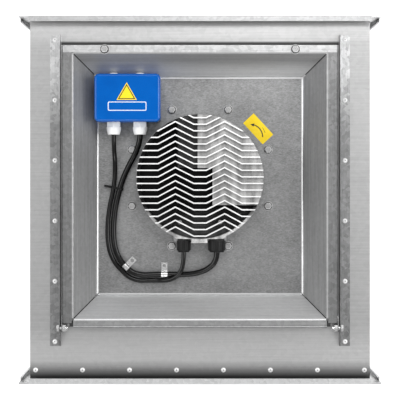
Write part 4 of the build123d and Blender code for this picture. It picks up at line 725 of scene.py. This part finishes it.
def tray_walls(bm):
    """The four sloped walls, from the base plate's edge to past the mouth's bend."""
    walls = ((0, -1, SIDE_WALL), (0, 1, SIDE_WALL), (1, -1, NEAR_WALL), (1, 1, FAR_WALL))
    for axis, side, finish_index in walls:
        run = runs[axis]
        corners = [(-fold_reach, 0), (0, 0), (run, TRAY_DEPTH), (run + RIM_START, TRAY_DEPTH)]
        wall = rounded([Vector(c) for c in corners], (FOLD_R, MOUTH_R), 6)

        def place(out, along, up, axis=axis, side=side):
            spot = Vector((0, TRAY_CENTRE_Y, base_z + up))
            spot[axis] += side * (half_base[axis] + out)
            spot[1 - axis] += along
            return spot

        ends = wall_ends(half_base[1 - axis], run, runs[1 - axis])
        mouth_index = SIDE_MOUTH if axis == 0 else finish_index
        folded_strip(bm, wall, TRAY_SHEET, ends, place, finish_index, (FOLD, mouth_index), SEAM_SHADE)


def corner_beads(bm):
    """A thin near-black bead behind each open corner seam, as painted shade, so that the seam reads as a dark
    joint.
    """
    for sx, sy in QUARTERS:
        across = Vector((sx, -sy, 0)).normalized() * BEAD_HALF_WIDTH
        out = Vector((sx, sy, BEAD_TILT)).normalized()
        bead = []
        for share in BEAD_SPAN:
            foot_x = sx * (half_base[0] + share * runs[0])
            foot_y = TRAY_CENTRE_Y + sy * (half_base[1] + share * runs[1])
            foot = Vector((foot_x, foot_y, base_z + share * TRAY_DEPTH - BEAD_DROP))
            bead += [bm.verts.new(foot + a * across + b * out) for a in (-1, 1) for b in BEAD_SKINS]
        for made in bmesh.ops.convex_hull(bm, input=bead)["geom"]:
            if isinstance(made, bmesh.types.BMFace):
                made.material_index = SEAM_SHADE


def tray_rims(bm):
    """The flat rims round the mouth, with their folded lips."""
    rims = (
        (0, -1, RIM_SIDE, -RIM_LIP, side_rim_near_y, mouth_far_y + MOUTH_R),
        (0, 1, RIM_SIDE, -RIM_LIP, side_rim_near_y, mouth_far_y + MOUTH_R),
        (1, -1, RIM_END, NEAR_LIP, -TRAY_MOUTH[0] / 2, TRAY_MOUTH[0] / 2),
        (1, 1, RIM_END, -RIM_LIP, -rim_outer_x + LIP_R, rim_outer_x - LIP_R),
    )
    for axis, side, width, lip, low, high in rims:
        if lip < 0:
            corners = [(RIM_START, 0), (width, 0), (width, lip - TRAY_SHEET)]
        else:
            corners = [(RIM_START, 0), (width - TRAY_SHEET, 0), (width - TRAY_SHEET, lip)]
        profile = rounded([Vector(c) for c in corners], (LIP_R,))

        def place(out, along, up, axis=axis, side=side):
            spot = Vector((0, 0, rim_z + up))
            edge = (TRAY_MOUTH[0] / 2, mouth_far_y if side > 0 else -mouth_near_y)[axis]
            spot[axis] = side * (edge + out)
            spot[1 - axis] = along
            return spot

        finish_index = SIDE_RIM if axis == 0 else END_RIM
        plain = (finish_index, (finish_index, finish_index), finish_index)
        folded_strip(bm, profile[:2], TRAY_SHEET, fixed_ends(low, high), place, *plain)
        lip_low = ear_foot_y if axis == 0 else low
        lip_high = mouth_far_y + RIM_END - LIP_R if axis == 0 else high
        folded_strip(bm, profile[1:], TRAY_SHEET, fixed_ends(lip_low, lip_high), place, *plain)


def tray_base_plate(bm):
    """The base plate, with the hole for the electronics housing and its gland block."""
    hole_r = housing_r + HOUSING_GAP
    block_x = GLAND_BLOCK_X + HOUSING_GAP
    notch = -90 + asin(block_x / hole_r) * 180 / pi
    hole = arc_points((0, motor_y), hole_r, notch, 180 - notch, 96)
    hole += [(-block_x, motor_low.y - HOUSING_GAP), (block_x, motor_low.y - HOUSING_GAP)]
    half_x, half_y = half_base[0] - fold_reach, half_base[1] - fold_reach
    outline = [
        (sx * half_x, TRAY_CENTRE_Y + sy * half_y) for sx, sy in ((-1, -1), (1, -1), (1, 1), (-1, 1))
    ]
    flat_plate(bm, (outline, hole), TRAY_SHEET, Matrix.Translation((0, 0, base_z - TRAY_SHEET / 2)), BASE)


def pivot_ears(bm):
    """The two upright ears that hang on the pivot screws."""
    stand = Matrix(((0, 0, 1, 0), (1, 0, 0, 0), (0, 1, 0, 0), (0, 0, 0, 1)))
    foot_y = ear_foot_y + EAR_LAP
    for side in (-1, 1):
        ear = arc_points((pivot_centre.y, pivot_centre.z), EAR_R, 90, 270, 24)
        ear += [(foot_y, rim_z - TRAY_SHEET - RIM_LIP), (foot_y, rim_z)]
        eye = arc_points((pivot_centre.y, pivot_centre.z), PIVOT_R, 0, 345, 24)
        place = Matrix.Translation((side * (rim_outer_x - TRAY_SHEET / 2), 0, 0)) @ stand
        flat_plate(bm, (ear, eye), TRAY_SHEET, place, SIDE_RIM)


def build_tray():
    bm = bmesh.new()
    for add_part in (tray_walls, corner_beads, tray_rims, tray_base_plate, pivot_ears):
        add_part(bm)
    return mesh_object("tray_sheet", bm, TRAY_FINISHES)


settle(build_tray(), "service_panel", "galvanised", "tray_panel")


# ================================================================ stickers
STICKER = 0.12 * MM
LID_TRIANGLE = (42 * MM, 36 * MM, 30 * MM)  # sides of the yellow field, and of its dark edge out and in
TRIANGLE_PLACE = (-1 * MM, 7 * MM)          # from the lid's middle
NAME_FIELD = (80 * MM, 19 * MM)
NAME_FIELD_DROP = 18 * MM                   # from the lid's middle, towards the near side
NAME_FIELD_LINE = 1.8 * MM
NAME_FIELD_R = 3 * MM
NAME_FIELD_INNER_R = 1.8 * MM
LABEL_TURN = -47.3                          # degrees, as the rotation label lies
ARROW_R = 27 * MM
ARROW_CENTRE = (1 * MM, -24.5 * MM)         # of its bend, from the label's middle
ARROW_SPAN = (47.0, 119.0)                  # degrees
ARROW_HALF_LINE = 1.1 * MM
ARROW_HALF_HEAD = 3.6 * MM
ARROW_TIP = 17.0                            # degrees past the end of its line
STROKE_R = (33.6 * MM, 32.8 * MM)           # of the plain stroke above the arrow, out and in
STROKE_SPAN = (62.0, 84.0)                  # degrees
black_print = label_film("black_print", (0.008, 0.008, 0.008), (0.02, 0.02, 0.02))
white_print = label_film("white_print", (0.6, 0.66, 0.76), (0.78, 0.82, 0.9))


def triangle(side, centre):
    """An upright triangle with equal sides."""
    return [spoke_end(centre, side / 3 ** 0.5, angle) for angle in (90, 210, 330)]


def build_lid_marks():
    """A plain yellow triangle with a dark edge, and an empty outlined name field under it."""
    lid_x, lid_y = (lid_low.x + lid_high.x) / 2, (lid_low.y + lid_high.y) / 2
    top = Matrix.Translation((0, 0, lid_high.z + STICKER / 2))
    higher = Matrix.Translation((0, 0, lid_high.z + STICKER * 1.5))
    centre = (lid_x + TRIANGLE_PLACE[0], lid_y + TRIANGLE_PLACE[1])
    yellow, edge_out, edge_in = (triangle(side, centre) for side in LID_TRIANGLE)
    field_centre = (lid_x, lid_y - NAME_FIELD_DROP)
    inner_width, inner_height = (size - 2 * NAME_FIELD_LINE for size in NAME_FIELD)
    field = (
        rounded_rectangle(*NAME_FIELD, NAME_FIELD_R, field_centre),
        rounded_rectangle(inner_width, inner_height, NAME_FIELD_INNER_R, field_centre),
    )
    plates = (
        ("lid_triangle", finishes["yellow_label"], (yellow,), top),
        ("lid_triangle_edge", black_print, (edge_out, edge_in), higher),
        ("lid_name_field", white_print, field, top),
    )
    for name, finish, loops, place in plates:
        bm = bmesh.new()
        flat_plate(bm, loops, STICKER, place)
        settle(mesh_object(name, bm, (finish,)), "box_lid", "yellow_label")


def build_rotation_arrow():
    """A curved arrow for the sense of rotation, and a plain stroke, printed on the yellow label."""
    centre = (label_low + label_high) / 2
    turn = Matrix.Rotation(radians(LABEL_TURN), 4, "Z")
    place = Matrix.Translation((centre.x, centre.y, label_high.z + STICKER / 2)) @ turn
    start, stop = ARROW_SPAN
    outer = arc_points(ARROW_CENTRE, ARROW_R + ARROW_HALF_LINE, start, stop, 20)
    inner = arc_points(ARROW_CENTRE, ARROW_R - ARROW_HALF_LINE, stop, start, 20)
    head = [
        spoke_end(ARROW_CENTRE, ARROW_R + ARROW_HALF_HEAD, stop),
        spoke_end(ARROW_CENTRE, ARROW_R, stop + ARROW_TIP),
        spoke_end(ARROW_CENTRE, ARROW_R - ARROW_HALF_HEAD, stop),
    ]
    stroke = arc_points(ARROW_CENTRE, STROKE_R[0], STROKE_SPAN[0], STROKE_SPAN[1], 10)
    stroke += arc_points(ARROW_CENTRE, STROKE_R[1], STROKE_SPAN[1], STROKE_SPAN[0], 10)
    bm = bmesh.new()
    flat_plate(bm, (outer + head + inner,), STICKER, place)
    flat_plate(bm, (stroke,), STICKER, place)
    settle(mesh_object("rotation_arrow", bm, (black_print,)), "service_panel", "yellow_label")


build_lid_marks()
build_rotation_arrow()

# ================================================================ floor, lights and camera
FLOOR_SIZE = 14.0
FLOOR_GAP = 0.2 * MM            # under the flanges
FLOOR_GLOW = 0.35
SKY_STRENGTH = 0.55
CAMERA_RISE = 2.040             # above the top of the flanges
CAMERA_Y = 44.6 * MM
LENS = 90.0
SENSOR = 36.0
VIEW_SHIFT = -0.055


def build_floor():
    bm = bmesh.new()
    bmesh.ops.create_grid(bm, x_segments=2, y_segments=2, size=FLOOR_SIZE / 2)
    paper = Finish("floor_paper", metallic=0.0, specular=0.1)
    tooth = paper.noise(60.0, detail=2.0)
    paper.color(paper.ramp(tooth, grey(0.90), grey(0.94)))
    paper.roughness(tooth, 0.8, 0.9)
    paper.shader.inputs["Emission Color"].default_value = (1, 1, 1, 1)
    paper.shader.inputs["Emission Strength"].default_value = FLOOR_GLOW
    floor = mesh_object("floor", bm, (paper,))
    floor.location.z = cad_low.z - FLOOR_GAP


def softbox(name, spot, target, width, height, power):
    light = bpy.data.lights.new(name, "AREA")
    light.shape = "RECTANGLE"
    light.size = width
    light.size_y = height
    light.energy = power
    lamp = bpy.data.objects.new(name, light)
    lamp.location = spot
    lamp.rotation_euler = (Vector(target) - Vector(spot)).to_track_quat("-Z", "Y").to_euler()
    lamp.visible_camera = False
    bpy.context.scene.collection.objects.link(lamp)


build_floor()
heart = (0.0, 0.0, casing_top_z)
softbox("softbox_left", (-1.9, 0.1, 2.0), heart, 1.2, 1.8, 20.0)
softbox("softbox_right", (1.9, 0.2, 2.1), heart, 1.2, 1.8, 28.0)
softbox("softbox_far", (0.2, 1.5, 2.9), heart, 1.6, 0.8, 30.0)
softbox("softbox_near", (0.1, -1.9, 2.3), heart, 1.6, 0.5, 12.0)

world = bpy.data.worlds.new("studio")
world.use_nodes = True
sky = world.node_tree.nodes["Background"]
sky.inputs["Color"].default_value = (1.0, 1.0, 1.0, 1.0)
sky.inputs["Strength"].default_value = SKY_STRENGTH
bpy.context.scene.world = world

lens = bpy.data.cameras.new("camera")
lens.lens = LENS
lens.sensor_width = SENSOR
lens.shift_y = VIEW_SHIFT
lens.clip_end = 50.0
camera = bpy.data.objects.new("camera", lens)
camera.location = (0.0, CAMERA_Y, cad_high.z + CAMERA_RISE)
bpy.context.scene.collection.objects.link(camera)
bpy.context.scene.camera = camera
bpy.context.scene.view_settings.view_transform = "Standard"
